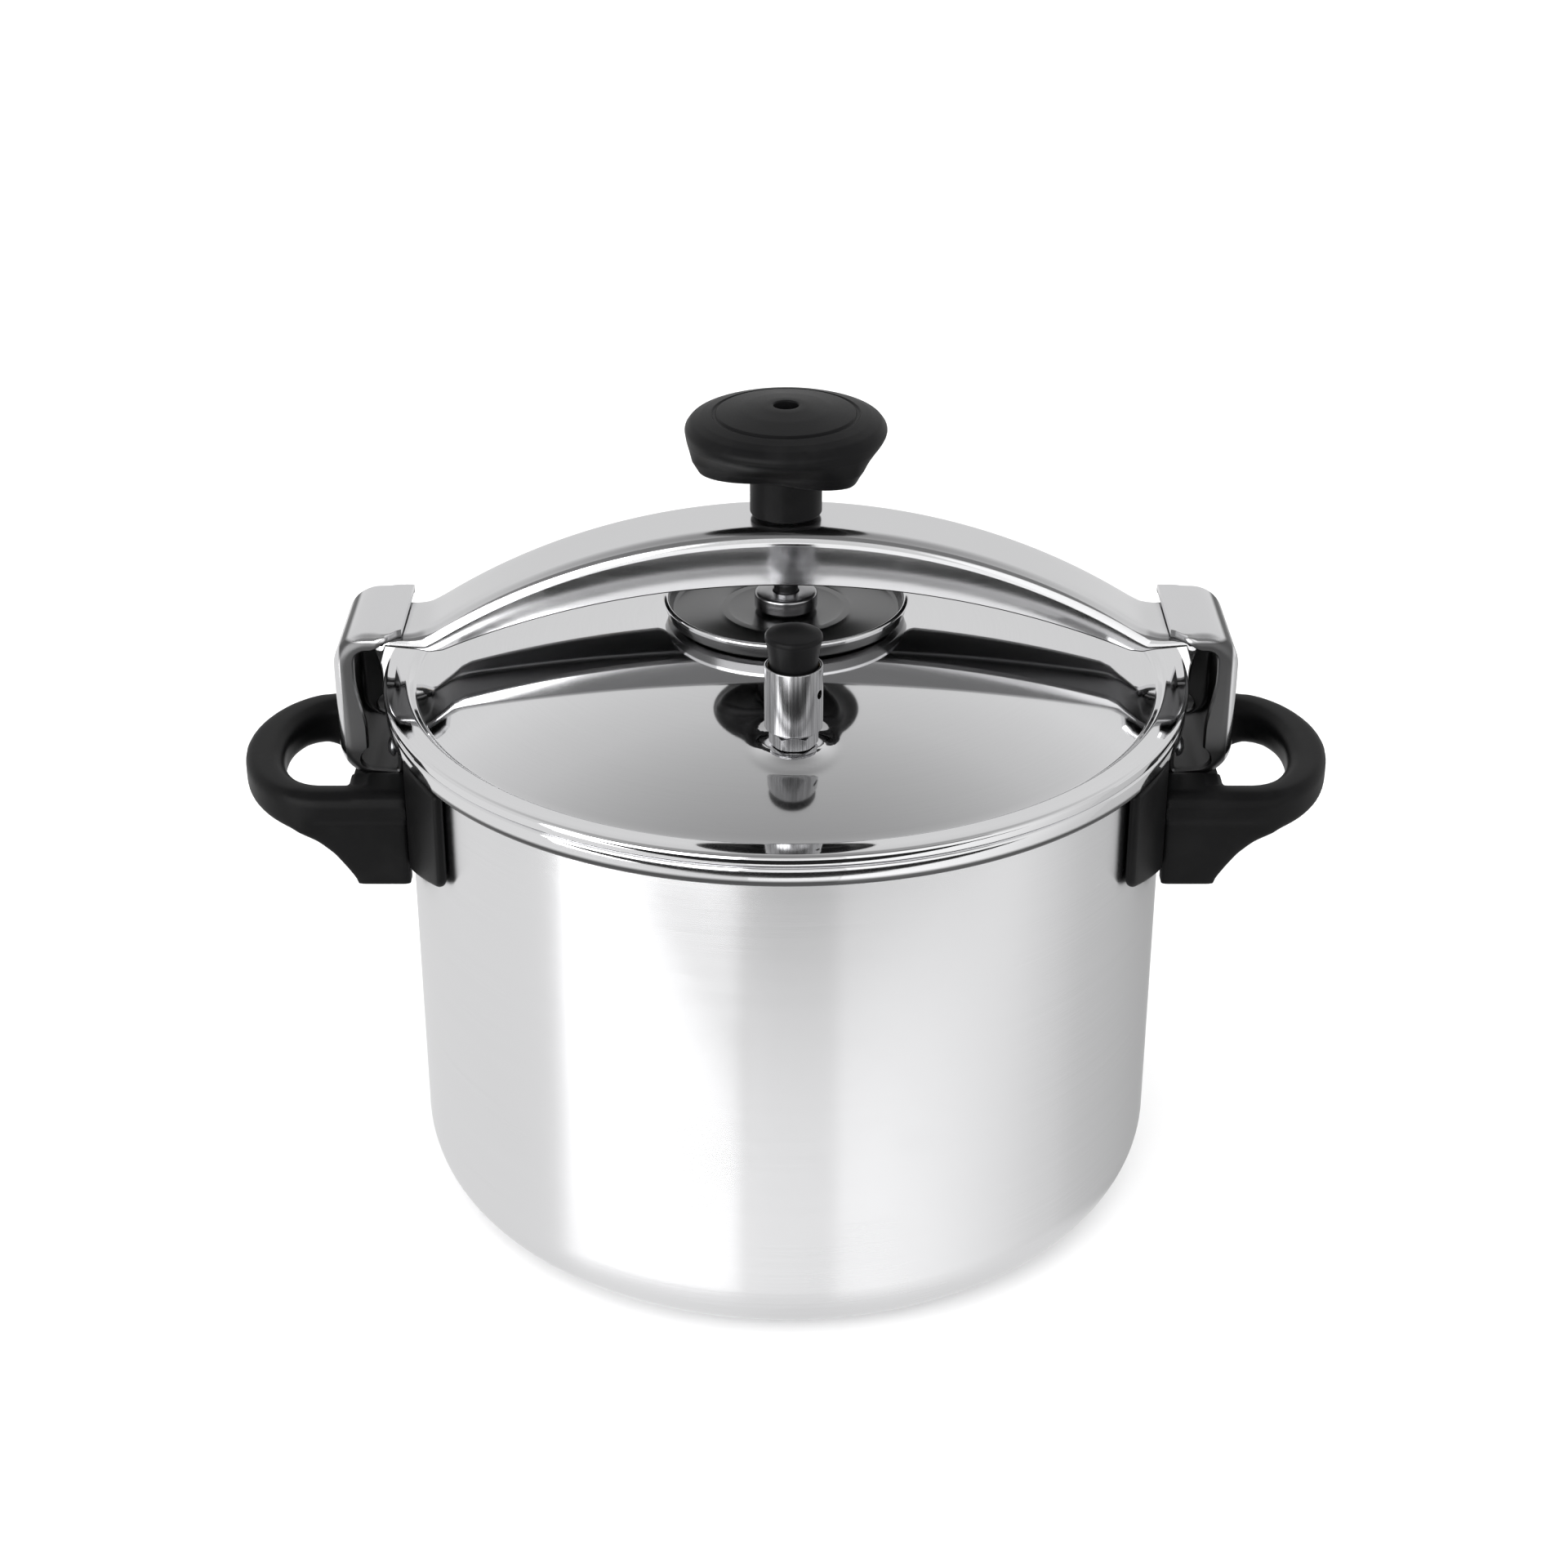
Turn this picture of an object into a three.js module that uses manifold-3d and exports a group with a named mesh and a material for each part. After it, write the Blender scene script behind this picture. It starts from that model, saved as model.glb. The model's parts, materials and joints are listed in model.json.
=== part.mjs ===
// Stovetop pressure cooker with a clamping bridge, in millimetres, +Z up.
// The origin is the centre of the underside of the base, X runs from handle to handle
// and -Y is the side of the working valve.
import * as THREE from "three";
import { mergeVertices } from "three/addons/utils/BufferGeometryUtils.js";
import Module from "manifold-3d";

const wasm = await Module();
wasm.setup();

// ---- Clearances -----------------------------------------------------------
const GAP = 0.3; // between pieces that touch
const SLIDE_GAP = 0.4; // between the bridge ends and the hooks over them
const TURN_GAP = 0.3; // radial, round anything that turns or lifts

// ---- Pot ------------------------------------------------------------------
const POT_RADIUS = 110.5; // outside of the wall
const POT_WALL = 1.2;
const POT_HEIGHT = 157.8; // top of the rolled rim
const POT_CORNER = 21; // bottom corner, outside
const CORNER_RISE = 20.8; // centre of the corner over the ground
const RIM_REACH = 5.4; // of the rolled rim, out from the wall
const RIM_DEPTH = 6.8; // height of the roll
const BASE_THICK = 4.2; // heat-spreading disc

// ---- Lid ------------------------------------------------------------------
const LID_SHEET = 1.5;
const LID_REACH = 0.3; // of the bead, out from the rim
const BEAD_HEIGHT = 3.8; // bead over the rim of the pot
const CROWN_RADIUS = 290; // sphere of the dome
const DOME_INSET = 4.5; // where the dome meets the bead, in from the wall
const DOME_RISE = 2.1; // edge of the dome over the rim of the pot
const LAND_RADIUS = 36.5; // flat pressed seat for the pressure cup
const BEAD_SKIRT = 1.9; // thickness of the bead's outer skirt
const GASKET_THICK = 1.9;

// ---- Bridge ---------------------------------------------------------------
const BRIDGE_WIDTH = 27;
const BRIDGE_SHEET = 2.5;
const BRIDGE_PLAY = 0.9; // from each end to the turned-in edges of its hook
const BRIDGE_RISE = 32.2; // centre of the arch over its flat ends
const ARCH_DROP = 30.47; // of the arch, from its centre to its ends
const END_FLAT = 20.4; // length of each flat end
const END_CORNER = 2.4; // bevel that clears the inside corner of the hook
const FLANGE_DROP = 20.79; // of the lower edge, from its centre to its ends
const FLANGE_CENTRE = 16.5; // depth of the flange at the spindle
const FLANGE_END = 3.2; // depth of the flange at the ends
const TOOTH_DEPTH = 5.6;
const TOOTH_WIDTH = 3.2;
const TOOTH_INSET = 6.2; // from the end

// ---- Hook brackets --------------------------------------------------------
const HOOK_HALF_DEPTH = 19.5;
const HOOK_REACH = 18; // of the back, out from the wall
const HOOK_SHEET = 2.4;
const HOOK_EDGE = 3.4; // further depth of the turned-in edges
const HOOK_EDGE_WIDTH = 3;
const LIP_INSET = 1.5; // end of the lip, in from the wall
const HOOK_CORNER = 10;
const LIP_RISE = 1.5; // top of the lip over the seat of the cup
const HOOK_DROP = 23.4; // floor of the hook under the top of the rim
const HOOK_LEG = 2.5; // leg against the pot, at its thinnest
const LEG_GAP = 0.7; // top of the leg under the roll of the rim
const RIVET_RADIUS = 2;
const RIVET_HEAD = 3.2;
const RIVET_RISE = 8.2; // over the floor of the hook
const RIVET_INSET = 5; // from the edge of the hook

// ---- Handles --------------------------------------------------------------
const HANDLE_HALF = 36; // half the width of the loop
const HANDLE_REACH = 48; // out from the wall
const LOOP_REACH = 22.5; // centre of the half ellipse, out from the wall
const HANDLE_RISE = 2.6; // top over the floor of the hook
const HANDLE_DEPTH = 29.5;
const HOLE_HALF = 25;
const BAR_WIDTH = 11.5; // of the loop at its far end
const HOLE_REACH = 14.8; // near edge of the finger hole, out from the wall
const SEAT_GAP = 0.8; // body of the handle under the hook
const SADDLE_SHEET = 3.4;
const SADDLE_POCKET = 1.2; // saddle behind the handle
const SADDLE_HALF = 59;
const SADDLE_LIFT = 6.5; // lower edge over that of the handle
const SADDLE_GAP = 0.7; // upper edge under the top of the leg
const SADDLE_CORNER = 9;
const BOSS_RADIUS = 6.5;
const BOSS_REACH = 9; // out from the wall
const SCREW_RISE = 15; // over the bottom of the handle
const SCREW_RADIUS = 2.2;
const SCREW_HEAD = 4.4;

// ---- Valves ---------------------------------------------------------------
const VALVE_PLACE = [2, -71];
const VALVE_SEAT_RISE = 0.06; // flat seat over the dome
const SAFETY_PLACE = [-56, 48];
const SAFETY_SEAT_RISE = -0.12;
const SEAT_RADIUS = 8;
const STEM_RADIUS = 3.9;
const FOOT_RADIUS = 6.6; // across corners
const FOOT_HEIGHT = 3.7;
const SLEEVE_RADIUS = 7.8;
const SLEEVE_HEIGHT = 19;
const SLEEVE_WALL = 0.9;
const CAP_RISE = 9.7; // top of the button over its sleeve
const NEEDLE_RADIUS = 1.6;

// ---- Spindle, cup and knob ------------------------------------------------
const SPINDLE_RADIUS = 4.9;
const BUSH_WALL = 2.8;
const NECK_GAP = 0.9; // knob over the bridge
const NECK_RADIUS = 3.5;
const STUD_RADIUS = 3.9; // end of the spindle inside the knob
const CUP_RADIUS = 35.4;
const CUP_FLOOR_RADIUS = 32.6;
const CUP_HEIGHT = 5.6;
const CUP_SHEET = 1.5;
const HUB_RADIUS = 7;
const KNOB_RADIUS = 28.4;
const KNOB_HEIGHT = 31.54;
const KNOB_NECK = 10.2;
const KNOB_SKIRT = 18.8; // depth of the grip
const NECK_WALL = 1.8;
const LOBE_DEPTH = 0.24; // share of the radius lost in each flute
const LOBE_TURN = THREE.MathUtils.degToRad(76);

// ---- Worked out -----------------------------------------------------------
const WALL_INSIDE = POT_RADIUS - POT_WALL;
const POT_FLOOR = BASE_THICK + GAP;
const CORNER_CENTRE = POT_RADIUS - POT_CORNER;
// How far the corner reaches out from its centre at a height.
const cornerReach = (z, radius) => Math.sqrt(radius ** 2 - (CORNER_RISE - z) ** 2);
const cornerAngle = (z, radius) =>
  THREE.MathUtils.radToDeg(Math.asin((z - CORNER_RISE) / radius));
const RIM_RADIUS = POT_RADIUS + RIM_REACH;
const LID_RADIUS = RIM_RADIUS + LID_REACH;
const DOME_RADIUS = POT_RADIUS - DOME_INSET;
const DOME_EDGE = POT_HEIGHT + DOME_RISE;
const CROWN_CENTRE = DOME_EDGE - Math.sqrt(CROWN_RADIUS ** 2 - DOME_RADIUS ** 2);
const domeHeight = (r) => CROWN_CENTRE + Math.sqrt(CROWN_RADIUS ** 2 - r ** 2);
const LAND = domeHeight(LAND_RADIUS);
const VALVE_SEAT = domeHeight(Math.hypot(...VALVE_PLACE)) + VALVE_SEAT_RISE;
const SAFETY_SEAT = domeHeight(Math.hypot(...SAFETY_PLACE)) + SAFETY_SEAT_RISE;
const HOOK_TOP = LAND + LIP_RISE;
const HOOK_OUTER = POT_RADIUS + HOOK_REACH;
const HOOK_LIP_END = POT_RADIUS - LIP_INSET;
const HOOK_FLOOR = POT_HEIGHT - HOOK_DROP;
const HOOK_LEG_TOP = POT_HEIGHT - RIM_DEPTH - LEG_GAP;
const RIVET_HEIGHT = HOOK_FLOOR + RIVET_RISE;
const RIVET_SPACING = HOOK_HALF_DEPTH - RIVET_INSET; // from the middle, each way
const BRIDGE_END = HOOK_TOP - HOOK_SHEET - SLIDE_GAP; // top of its flat ends
const BRIDGE_TOP = BRIDGE_END + BRIDGE_RISE;
const BRIDGE_HALF = HOOK_OUTER - HOOK_SHEET - HOOK_EDGE - BRIDGE_PLAY;
const ARCH_HALF = BRIDGE_HALF - END_FLAT; // where the arch meets the flat end
const TOOTH_PLACE = BRIDGE_HALF - TOOTH_INSET;
const CUP_BOTTOM = LAND + GAP;
const BUSH_RADIUS = SPINDLE_RADIUS + BUSH_WALL;
const NECK_END = BRIDGE_TOP + NECK_GAP;
const KNOB_TOP = NECK_END + KNOB_HEIGHT;
const HANDLE_END = POT_RADIUS + HANDLE_REACH;
const HANDLE_CENTRE = POT_RADIUS + LOOP_REACH;
const HANDLE_TOP = HOOK_FLOOR + HANDLE_RISE;
const HANDLE_BOTTOM = HANDLE_TOP - HANDLE_DEPTH;
const HOLE_START = POT_RADIUS + HOLE_REACH;
const HOLE_END = HANDLE_END - BAR_WIDTH;
const SEAT_TOP = HOOK_FLOOR - SEAT_GAP;
const BOSS_END = POT_RADIUS + BOSS_REACH;
const SCREW_HEIGHT = HANDLE_BOTTOM + SCREW_RISE;
const SADDLE_BOTTOM = HANDLE_BOTTOM + SADDLE_LIFT;
const SADDLE_TOP = HOOK_LEG_TOP - SADDLE_GAP;
const WITHIN = POT_RADIUS - 12; // ends of the cuts through the wall and its fittings
const BEYOND = POT_RADIUS + 30;

// ---- Looks ----------------------------------------------------------------
const POLISHED = { color: 0xd4d5d6, roughness: 0.18, metalness: 1 };
const BRUSHED = { color: 0xc9cacb, roughness: 0.34, metalness: 1 };
const BAKELITE = { color: 0x1b1b1c, roughness: 0.42, metalness: 0 };
const RUBBER = { color: 0x2a2a2b, roughness: 0.7, metalness: 0 };
const BRASS = { color: 0xb8964e, roughness: 0.35, metalness: 1 };
const STEEL = { color: 0xb4b6b8, roughness: 0.3, metalness: 1 };

const ROUND = 56; // sides of the large round pieces

const cooker = new THREE.Group();

// ---- Helpers --------------------------------------------------------------
function solidOf(geometry) {
  const flat = geometry.index ? geometry.toNonIndexed() : geometry;
  const bare = new THREE.BufferGeometry();
  bare.setAttribute("position", flat.getAttribute("position"));
  const merged = mergeVertices(bare, 1e-4);
  return new wasm.Manifold(
    new wasm.Mesh({
      numProp: 3,
      vertProperties: merged.attributes.position.array,
      triVerts: new Uint32Array(merged.index.array),
    }),
  );
}

function geometryOf(solid) {
  const mesh = solid.getMesh();
  const geometry = new THREE.BufferGeometry();
  geometry.setAttribute("position", new THREE.BufferAttribute(mesh.vertProperties, 3));
  geometry.setIndex(new THREE.BufferAttribute(mesh.triVerts, 1));
  return geometry;
}

function add(name, solid, look) {
  const mesh = new THREE.Mesh(geometryOf(solid), new THREE.MeshStandardMaterial(look));
  mesh.name = name;
  cooker.add(mesh);
  return mesh;
}

// A body of revolution about Z from points [radius, height], closed on themselves.
function turned(points, segments = 32, [x, y] = [0, 0]) {
  let area = 0;
  points.forEach(([r, z], i) => {
    const [nextR, nextZ] = points[(i + 1) % points.length];
    area += r * nextZ - nextR * z;
  });
  const round = area > 0 ? points : [...points].reverse();
  const profile = [...round, round[0]].map(([r, z]) => new THREE.Vector2(r, z));
  const geometry = new THREE.LatheGeometry(profile, segments);
  return solidOf(geometry.rotateX(Math.PI / 2).translate(x, y, 0));
}

const disc = (radius, low, high, segments = 32, place = [0, 0]) =>
  turned([[0, low], [radius, low], [radius, high], [0, high]], segments, place);

const ring = (inner, outer, low, high, segments = 32, place = [0, 0]) =>
  turned([[inner, low], [outer, low], [outer, high], [inner, high]], segments, place);

// A round bar along X, from low to high.
function barX(radius, low, high, y, z, segments = 24) {
  const geometry = new THREE.CylinderGeometry(radius, radius, high - low, segments);
  return solidOf(geometry.rotateZ(Math.PI / 2).translate((low + high) / 2, y, z));
}

function block([x0, x1], [y0, y1], [z0, z1]) {
  const geometry = new THREE.BoxGeometry(x1 - x0, y1 - y0, z1 - z0);
  return solidOf(geometry.translate((x0 + x1) / 2, (y0 + y1) / 2, (z0 + z1) / 2));
}

const extruded = (shape, depth, curveSegments = 12) =>
  new THREE.ExtrudeGeometry(shape, { depth, bevelEnabled: false, curveSegments });

// An outline in X and Z, carried from -half to half along Y.
const acrossY = (shape, half, curveSegments) =>
  solidOf(extruded(shape, 2 * half, curveSegments).rotateX(Math.PI / 2).translate(0, half, 0));

// An outline in Y and Z, carried along X.
function alongX(shape, low, high, curveSegments) {
  const turn = new THREE.Matrix4().makeBasis(
    new THREE.Vector3(0, 1, 0),
    new THREE.Vector3(0, 0, 1),
    new THREE.Vector3(1, 0, 0),
  );
  const geometry = extruded(shape, high - low, curveSegments);
  return solidOf(geometry.applyMatrix4(turn).translate(low, 0, 0));
}

// An outline in X and Y, carried up Z.
const upZ = (shape, low, high, curveSegments) =>
  solidOf(extruded(shape, high - low, curveSegments).translate(0, 0, low));

function outline(points) {
  const shape = new THREE.Shape();
  points.forEach(([x, y], i) => (i ? shape.lineTo(x, y) : shape.moveTo(x, y)));
  return shape;
}

// Points on an arc about [x, y], from one angle to another in degrees.
function arc([x, y], radius, from, to, steps) {
  return Array.from({ length: steps + 1 }, (_, i) => {
    const angle = THREE.MathUtils.degToRad(from + ((to - from) * i) / steps);
    return [x + radius * Math.cos(angle), y + radius * Math.sin(angle)];
  });
}

class Helix extends THREE.Curve {
  constructor(radius, low, high, turns, [x, y]) {
    super();
    Object.assign(this, { radius, low, high, turns, x, y });
  }
  getPoint(t, target = new THREE.Vector3()) {
    const angle = 2 * Math.PI * this.turns * t;
    return target.set(
      this.x + this.radius * Math.cos(angle),
      this.y + this.radius * Math.sin(angle),
      this.low + (this.high - this.low) * t,
    );
  }
}

function spring(radius, wire, low, high, turns, place) {
  const round = new THREE.Shape();
  round.absarc(0, 0, wire, 0, 2 * Math.PI, false);
  const path = new Helix(radius, low + wire, high - wire, turns, place);
  const geometry = new THREE.ExtrudeGeometry(round, {
    extrudePath: path,
    steps: 8 * turns,
    curveSegments: 3,
    bevelEnabled: false,
  });
  return solidOf(geometry);
}

const mirrored = (mesh) => {
  mesh.scale.x = -1;
  return mesh;
};

// Both sides carry the same piece: the left one is its mirror image.
function addPair(name, solid, look) {
  add(name + "_right", solid, look);
  mirrored(add(name + "_left", solid, look));
}

// ---- Pot ------------------------------------------------------------------
function rivetHole(side, y) {
  const bar = barX(RIVET_RADIUS + GAP, WITHIN, BEYOND, y, RIVET_HEIGHT, 16);
  return bar.scale([side, 1, 1]);
}

function potShell() {
  const inner = POT_CORNER - POT_WALL;
  const centre = [CORNER_CENTRE, CORNER_RISE];
  const floor = POT_FLOOR + POT_WALL;
  const roll = POT_HEIGHT - RIM_DEPTH;
  const profile = [
    [0, POT_FLOOR],
    ...arc(centre, POT_CORNER, cornerAngle(POT_FLOOR, POT_CORNER), 0, 5),
    [POT_RADIUS, roll],
    [RIM_RADIUS - 2.4, roll + 0.6],
    [RIM_RADIUS - 0.6, roll + 2.2],
    [RIM_RADIUS, roll + 4.8],
    [RIM_RADIUS - 0.7, POT_HEIGHT - 0.5],
    [RIM_RADIUS - 2, POT_HEIGHT],
    [WALL_INSIDE + 0.8, POT_HEIGHT],
    [WALL_INSIDE, POT_HEIGHT - 0.8],
    ...arc(centre, inner, 0, cornerAngle(floor, inner), 5),
    [0, floor],
  ];
  let pot = turned(profile, ROUND);
  for (const side of [1, -1])
    for (const y of [RIVET_SPACING, -RIVET_SPACING]) pot = pot.subtract(rivetHole(side, y));
  return pot;
}

// The disc carries on the round of the pot's corner down to the ground.
function baseDisc() {
  const edge = [0, BASE_THICK / 2, BASE_THICK].map((z) => [
    CORNER_CENTRE + cornerReach(z, POT_CORNER),
    z,
  ]);
  return turned([[0, 0], ...edge, [0, BASE_THICK]], ROUND);
}

// ---- Lid ------------------------------------------------------------------
const WASHER_OUTER = 8.6;

function lidShell() {
  const bead = POT_HEIGHT + BEAD_HEIGHT;
  const rest = POT_HEIGHT + 0.5;
  const steps = 3;
  const span = (i) => LAND_RADIUS + ((DOME_RADIUS - LAND_RADIUS) * i) / steps;
  const top = Array.from({ length: steps + 1 }, (_, i) => [span(i), domeHeight(span(i))]);
  const under = top.map(([r, z]) => [r - 0.2, z - LID_SHEET]).reverse();
  const profile = [
    [0, LAND - LID_SHEET],
    [0, LAND],
    ...top,
    [DOME_RADIUS + 1.4, DOME_EDGE - 0.1],
    [DOME_RADIUS + 3, bead - 0.5],
    [DOME_RADIUS + 4.8, bead],
    [LID_RADIUS - 3.2, bead - 0.4],
    [LID_RADIUS - 0.9, bead - 1.6],
    [LID_RADIUS, rest + 0.8],
    [LID_RADIUS - 0.4, rest],
    [LID_RADIUS - 1.5, rest],
    [LID_RADIUS - BEAD_SKIRT, bead - 1.4],
    [DOME_RADIUS + 2.6, bead - 1.4],
    [DOME_RADIUS + 1.6, DOME_EDGE - LID_SHEET],
    ...under,
  ];
  let lid = turned(profile, ROUND);
  for (const [place, seat] of [[VALVE_PLACE, VALVE_SEAT], [SAFETY_PLACE, SAFETY_SEAT]]) {
    lid = lid.add(disc(WASHER_OUTER, seat - 4.6, seat, 32, place));
    lid = lid.subtract(disc(SEAT_RADIUS, seat, seat + 12, 32, place));
    lid = lid.subtract(disc(STEM_RADIUS + GAP, seat - 20, seat + 1, 24, place));
  }
  return lid;
}

function gasket() {
  const low = POT_HEIGHT + 0.25;
  const high = low + GASKET_THICK;
  const inner = DOME_RADIUS + 3;
  const outer = LID_RADIUS - BEAD_SKIRT - GAP;
  return turned([[inner, low], [outer, low], [outer, high], [inner + 0.8, high]], ROUND);
}

// ---- Fasteners shared by the two valves -----------------------------------
const stemNut = (place, seat) =>
  disc(FOOT_RADIUS + 1.4, seat - 10.2, seat - 6.9, 6, place).subtract(
    disc(STEM_RADIUS + GAP, seat - 12, seat - 5, 24, place),
  );

const stemWasher = (place, seat) =>
  ring(STEM_RADIUS + GAP, WASHER_OUTER, seat - 6.6, seat - 4.9, 24, place);

// ---- Working valve --------------------------------------------------------
const FOOT_TOP = VALVE_SEAT + GAP + FOOT_HEIGHT;
const PIPE_TOP = FOOT_TOP + 6;
const SLEEVE_BOTTOM = FOOT_TOP + GAP;
const SLEEVE_TOP = SLEEVE_BOTTOM + SLEEVE_HEIGHT;
const CAP_TOP = SLEEVE_TOP + CAP_RISE;
const BUSH_LOW = SLEEVE_TOP - 3.4;
const NEEDLE_LOW = PIPE_TOP + GAP;
const SHOULDER = NEEDLE_LOW + 2.6;

function valveNozzle() {
  const pipe = disc(3.4, FOOT_TOP - 1, PIPE_TOP, 24, VALVE_PLACE);
  const foot = disc(FOOT_RADIUS, VALVE_SEAT + GAP, FOOT_TOP, 6, VALVE_PLACE);
  const stem = disc(STEM_RADIUS, VALVE_SEAT - 12, VALVE_SEAT + 1, 24, VALVE_PLACE);
  const bore = disc(1.2, VALVE_SEAT - 20, PIPE_TOP + 5, 12, VALVE_PLACE);
  return stem.add(foot).add(pipe).subtract(bore);
}

function valveSleeve() {
  const inner = SLEEVE_RADIUS - SLEEVE_WALL;
  const body = turned(
    [
      [3.7, SLEEVE_BOTTOM],
      [SLEEVE_RADIUS - 1.3, SLEEVE_BOTTOM],
      [SLEEVE_RADIUS, SLEEVE_BOTTOM + 1.1],
      [SLEEVE_RADIUS, SLEEVE_TOP],
      [inner, SLEEVE_TOP],
      [inner, SLEEVE_BOTTOM + 2],
      [3.7, SLEEVE_BOTTOM + 2],
    ],
    32,
    VALVE_PLACE,
  );
  const vent = new THREE.CylinderGeometry(1.2, 1.2, 10, 12).rotateZ(Math.PI / 2);
  vent.translate(SLEEVE_RADIUS, 0, 0).rotateZ(THREE.MathUtils.degToRad(-28));
  vent.translate(VALVE_PLACE[0], VALVE_PLACE[1], SLEEVE_BOTTOM + 0.62 * SLEEVE_HEIGHT);
  return body.subtract(solidOf(vent));
}

function valveBush() {
  const outer = SLEEVE_RADIUS - SLEEVE_WALL - GAP;
  return ring(NEEDLE_RADIUS + TURN_GAP, outer, BUSH_LOW, BUSH_LOW + 1.6, 24, VALVE_PLACE);
}

function valveNeedle() {
  return turned(
    [
      [0, NEEDLE_LOW],
      [0.5, NEEDLE_LOW],
      [NEEDLE_RADIUS, NEEDLE_LOW + 1.6],
      [NEEDLE_RADIUS, SHOULDER],
      [4.4, SHOULDER],
      [4.4, SHOULDER + 1.2],
      [NEEDLE_RADIUS, SHOULDER + 1.2],
      [NEEDLE_RADIUS, CAP_TOP - 4.4],
      [0, CAP_TOP - 4.4],
    ],
    24,
    VALVE_PLACE,
  );
}

const valveSpring = () =>
  spring(3.1, 0.4, SHOULDER + 1.2 + GAP, BUSH_LOW - GAP, 4, VALVE_PLACE);

function valveCap() {
  const low = BUSH_LOW + 1.6 + GAP;
  const foot = SLEEVE_RADIUS - SLEEVE_WALL - TURN_GAP - 0.1;
  const bore = NEEDLE_RADIUS + GAP;
  return turned(
    [
      [bore, low],
      [foot, low],
      [foot, SLEEVE_TOP + 0.6],
      [foot + 0.5, SLEEVE_TOP + 4],
      [SLEEVE_RADIUS - 0.1, CAP_TOP - 2.4],
      [SLEEVE_RADIUS - 0.1, CAP_TOP - 1.6],
      [SLEEVE_RADIUS - 0.7, CAP_TOP - 0.8],
      [4, CAP_TOP - 0.2],
      [0, CAP_TOP],
      [0, CAP_TOP - 4.1],
      [bore, CAP_TOP - 4.1],
    ],
    32,
    VALVE_PLACE,
  );
}

// ---- Safety valve ---------------------------------------------------------
const PIN_RADIUS = 1.3;
const SAFETY_LOW = SAFETY_SEAT - 11;
const PIN_LOW = SAFETY_LOW - 7.6;

function safetyBody() {
  const head = disc(FOOT_RADIUS, SAFETY_SEAT + GAP, SAFETY_SEAT + 3.6, 6, SAFETY_PLACE);
  const stem = disc(STEM_RADIUS, SAFETY_LOW, SAFETY_SEAT + 1, 24, SAFETY_PLACE);
  const bore = disc(PIN_RADIUS + TURN_GAP, SAFETY_LOW - 5, SAFETY_SEAT + 9, 16, SAFETY_PLACE);
  return stem.add(head).subtract(bore);
}

function safetyPin() {
  return turned(
    [
      [0, PIN_LOW],
      [4, PIN_LOW],
      [4, PIN_LOW + 1.2],
      [PIN_RADIUS, PIN_LOW + 1.2],
      [PIN_RADIUS, SAFETY_SEAT + 4.4],
      [PIN_RADIUS - 0.5, SAFETY_SEAT + 4.9],
      [0, SAFETY_SEAT + 4.9],
    ],
    20,
    SAFETY_PLACE,
  );
}

const safetySpring = () =>
  spring(2.8, 0.4, PIN_LOW + 1.2 + GAP, SAFETY_LOW - GAP, 4, SAFETY_PLACE);

// ---- Bridge ---------------------------------------------------------------
// The radius of an arch with that drop at a half span.
const archRadius = (half, drop) => (half ** 2 + drop ** 2) / (2 * drop);
const ARCH_RADIUS = archRadius(ARCH_HALF, ARCH_DROP);
const FLANGE_HALF = ARCH_HALF - 2;
const FLANGE_ARCH_RADIUS = archRadius(FLANGE_HALF, FLANGE_DROP);
const archHeight = (x) => BRIDGE_TOP - ARCH_RADIUS + Math.sqrt(ARCH_RADIUS ** 2 - x ** 2);
const flangeHeight = (x) =>
  BRIDGE_TOP - FLANGE_CENTRE - FLANGE_ARCH_RADIUS + Math.sqrt(FLANGE_ARCH_RADIUS ** 2 - x ** 2);

// The upper edge of the sheet from end to end, lowered by drop.
function archLine(drop) {
  const steps = 28;
  const half = ARCH_HALF - 2.4;
  const middle = Array.from({ length: steps + 1 }, (_, i) => {
    const x = -half + (2 * half * i) / steps;
    return [x, archHeight(x) - drop];
  });
  const end = (side) => [
    [side * BRIDGE_HALF, BRIDGE_END - drop - END_CORNER],
    [side * (BRIDGE_HALF - END_CORNER), BRIDGE_END - drop],
    [side * (ARCH_HALF + 3), BRIDGE_END - drop],
    [side * (ARCH_HALF + 0.4), BRIDGE_END - drop + 0.7],
  ];
  return [...end(-1), ...middle, ...end(1).reverse()];
}

function flangeLine() {
  const steps = 20;
  const half = FLANGE_HALF;
  const low = BRIDGE_END - FLANGE_END;
  const middle = Array.from({ length: steps + 1 }, (_, i) => {
    const x = -half + (2 * half * i) / steps;
    return [x, flangeHeight(x)];
  });
  const end = (side) => [
    [side * BRIDGE_HALF, low - 0.6],
    [side * (TOOTH_PLACE + TOOTH_WIDTH / 2), low],
    [side * TOOTH_PLACE, low - TOOTH_DEPTH],
    [side * (TOOTH_PLACE - TOOTH_WIDTH / 2), low],
    [side * (ARCH_HALF + 3.5), low - 1],
  ];
  return [...end(-1), ...middle, ...end(1).reverse()];
}

function bridge() {
  const whole = outline([...archLine(0), ...flangeLine().reverse()]);
  const floor = BRIDGE_END - 30;
  const hollow = archLine(BRIDGE_SHEET).filter(([x]) => Math.abs(x) < BRIDGE_HALF - 0.1);
  const inside = outline([
    [-BRIDGE_HALF - 5, BRIDGE_END - BRIDGE_SHEET],
    ...hollow,
    [BRIDGE_HALF + 5, BRIDGE_END - BRIDGE_SHEET],
    [BRIDGE_HALF + 5, floor],
    [-BRIDGE_HALF - 5, floor],
  ]);
  const half = BRIDGE_WIDTH / 2;
  const hole = disc(BUSH_RADIUS + GAP, BRIDGE_TOP - 12, BRIDGE_TOP + 8);
  return acrossY(whole, half).subtract(acrossY(inside, half - BRIDGE_SHEET)).subtract(hole);
}

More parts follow.
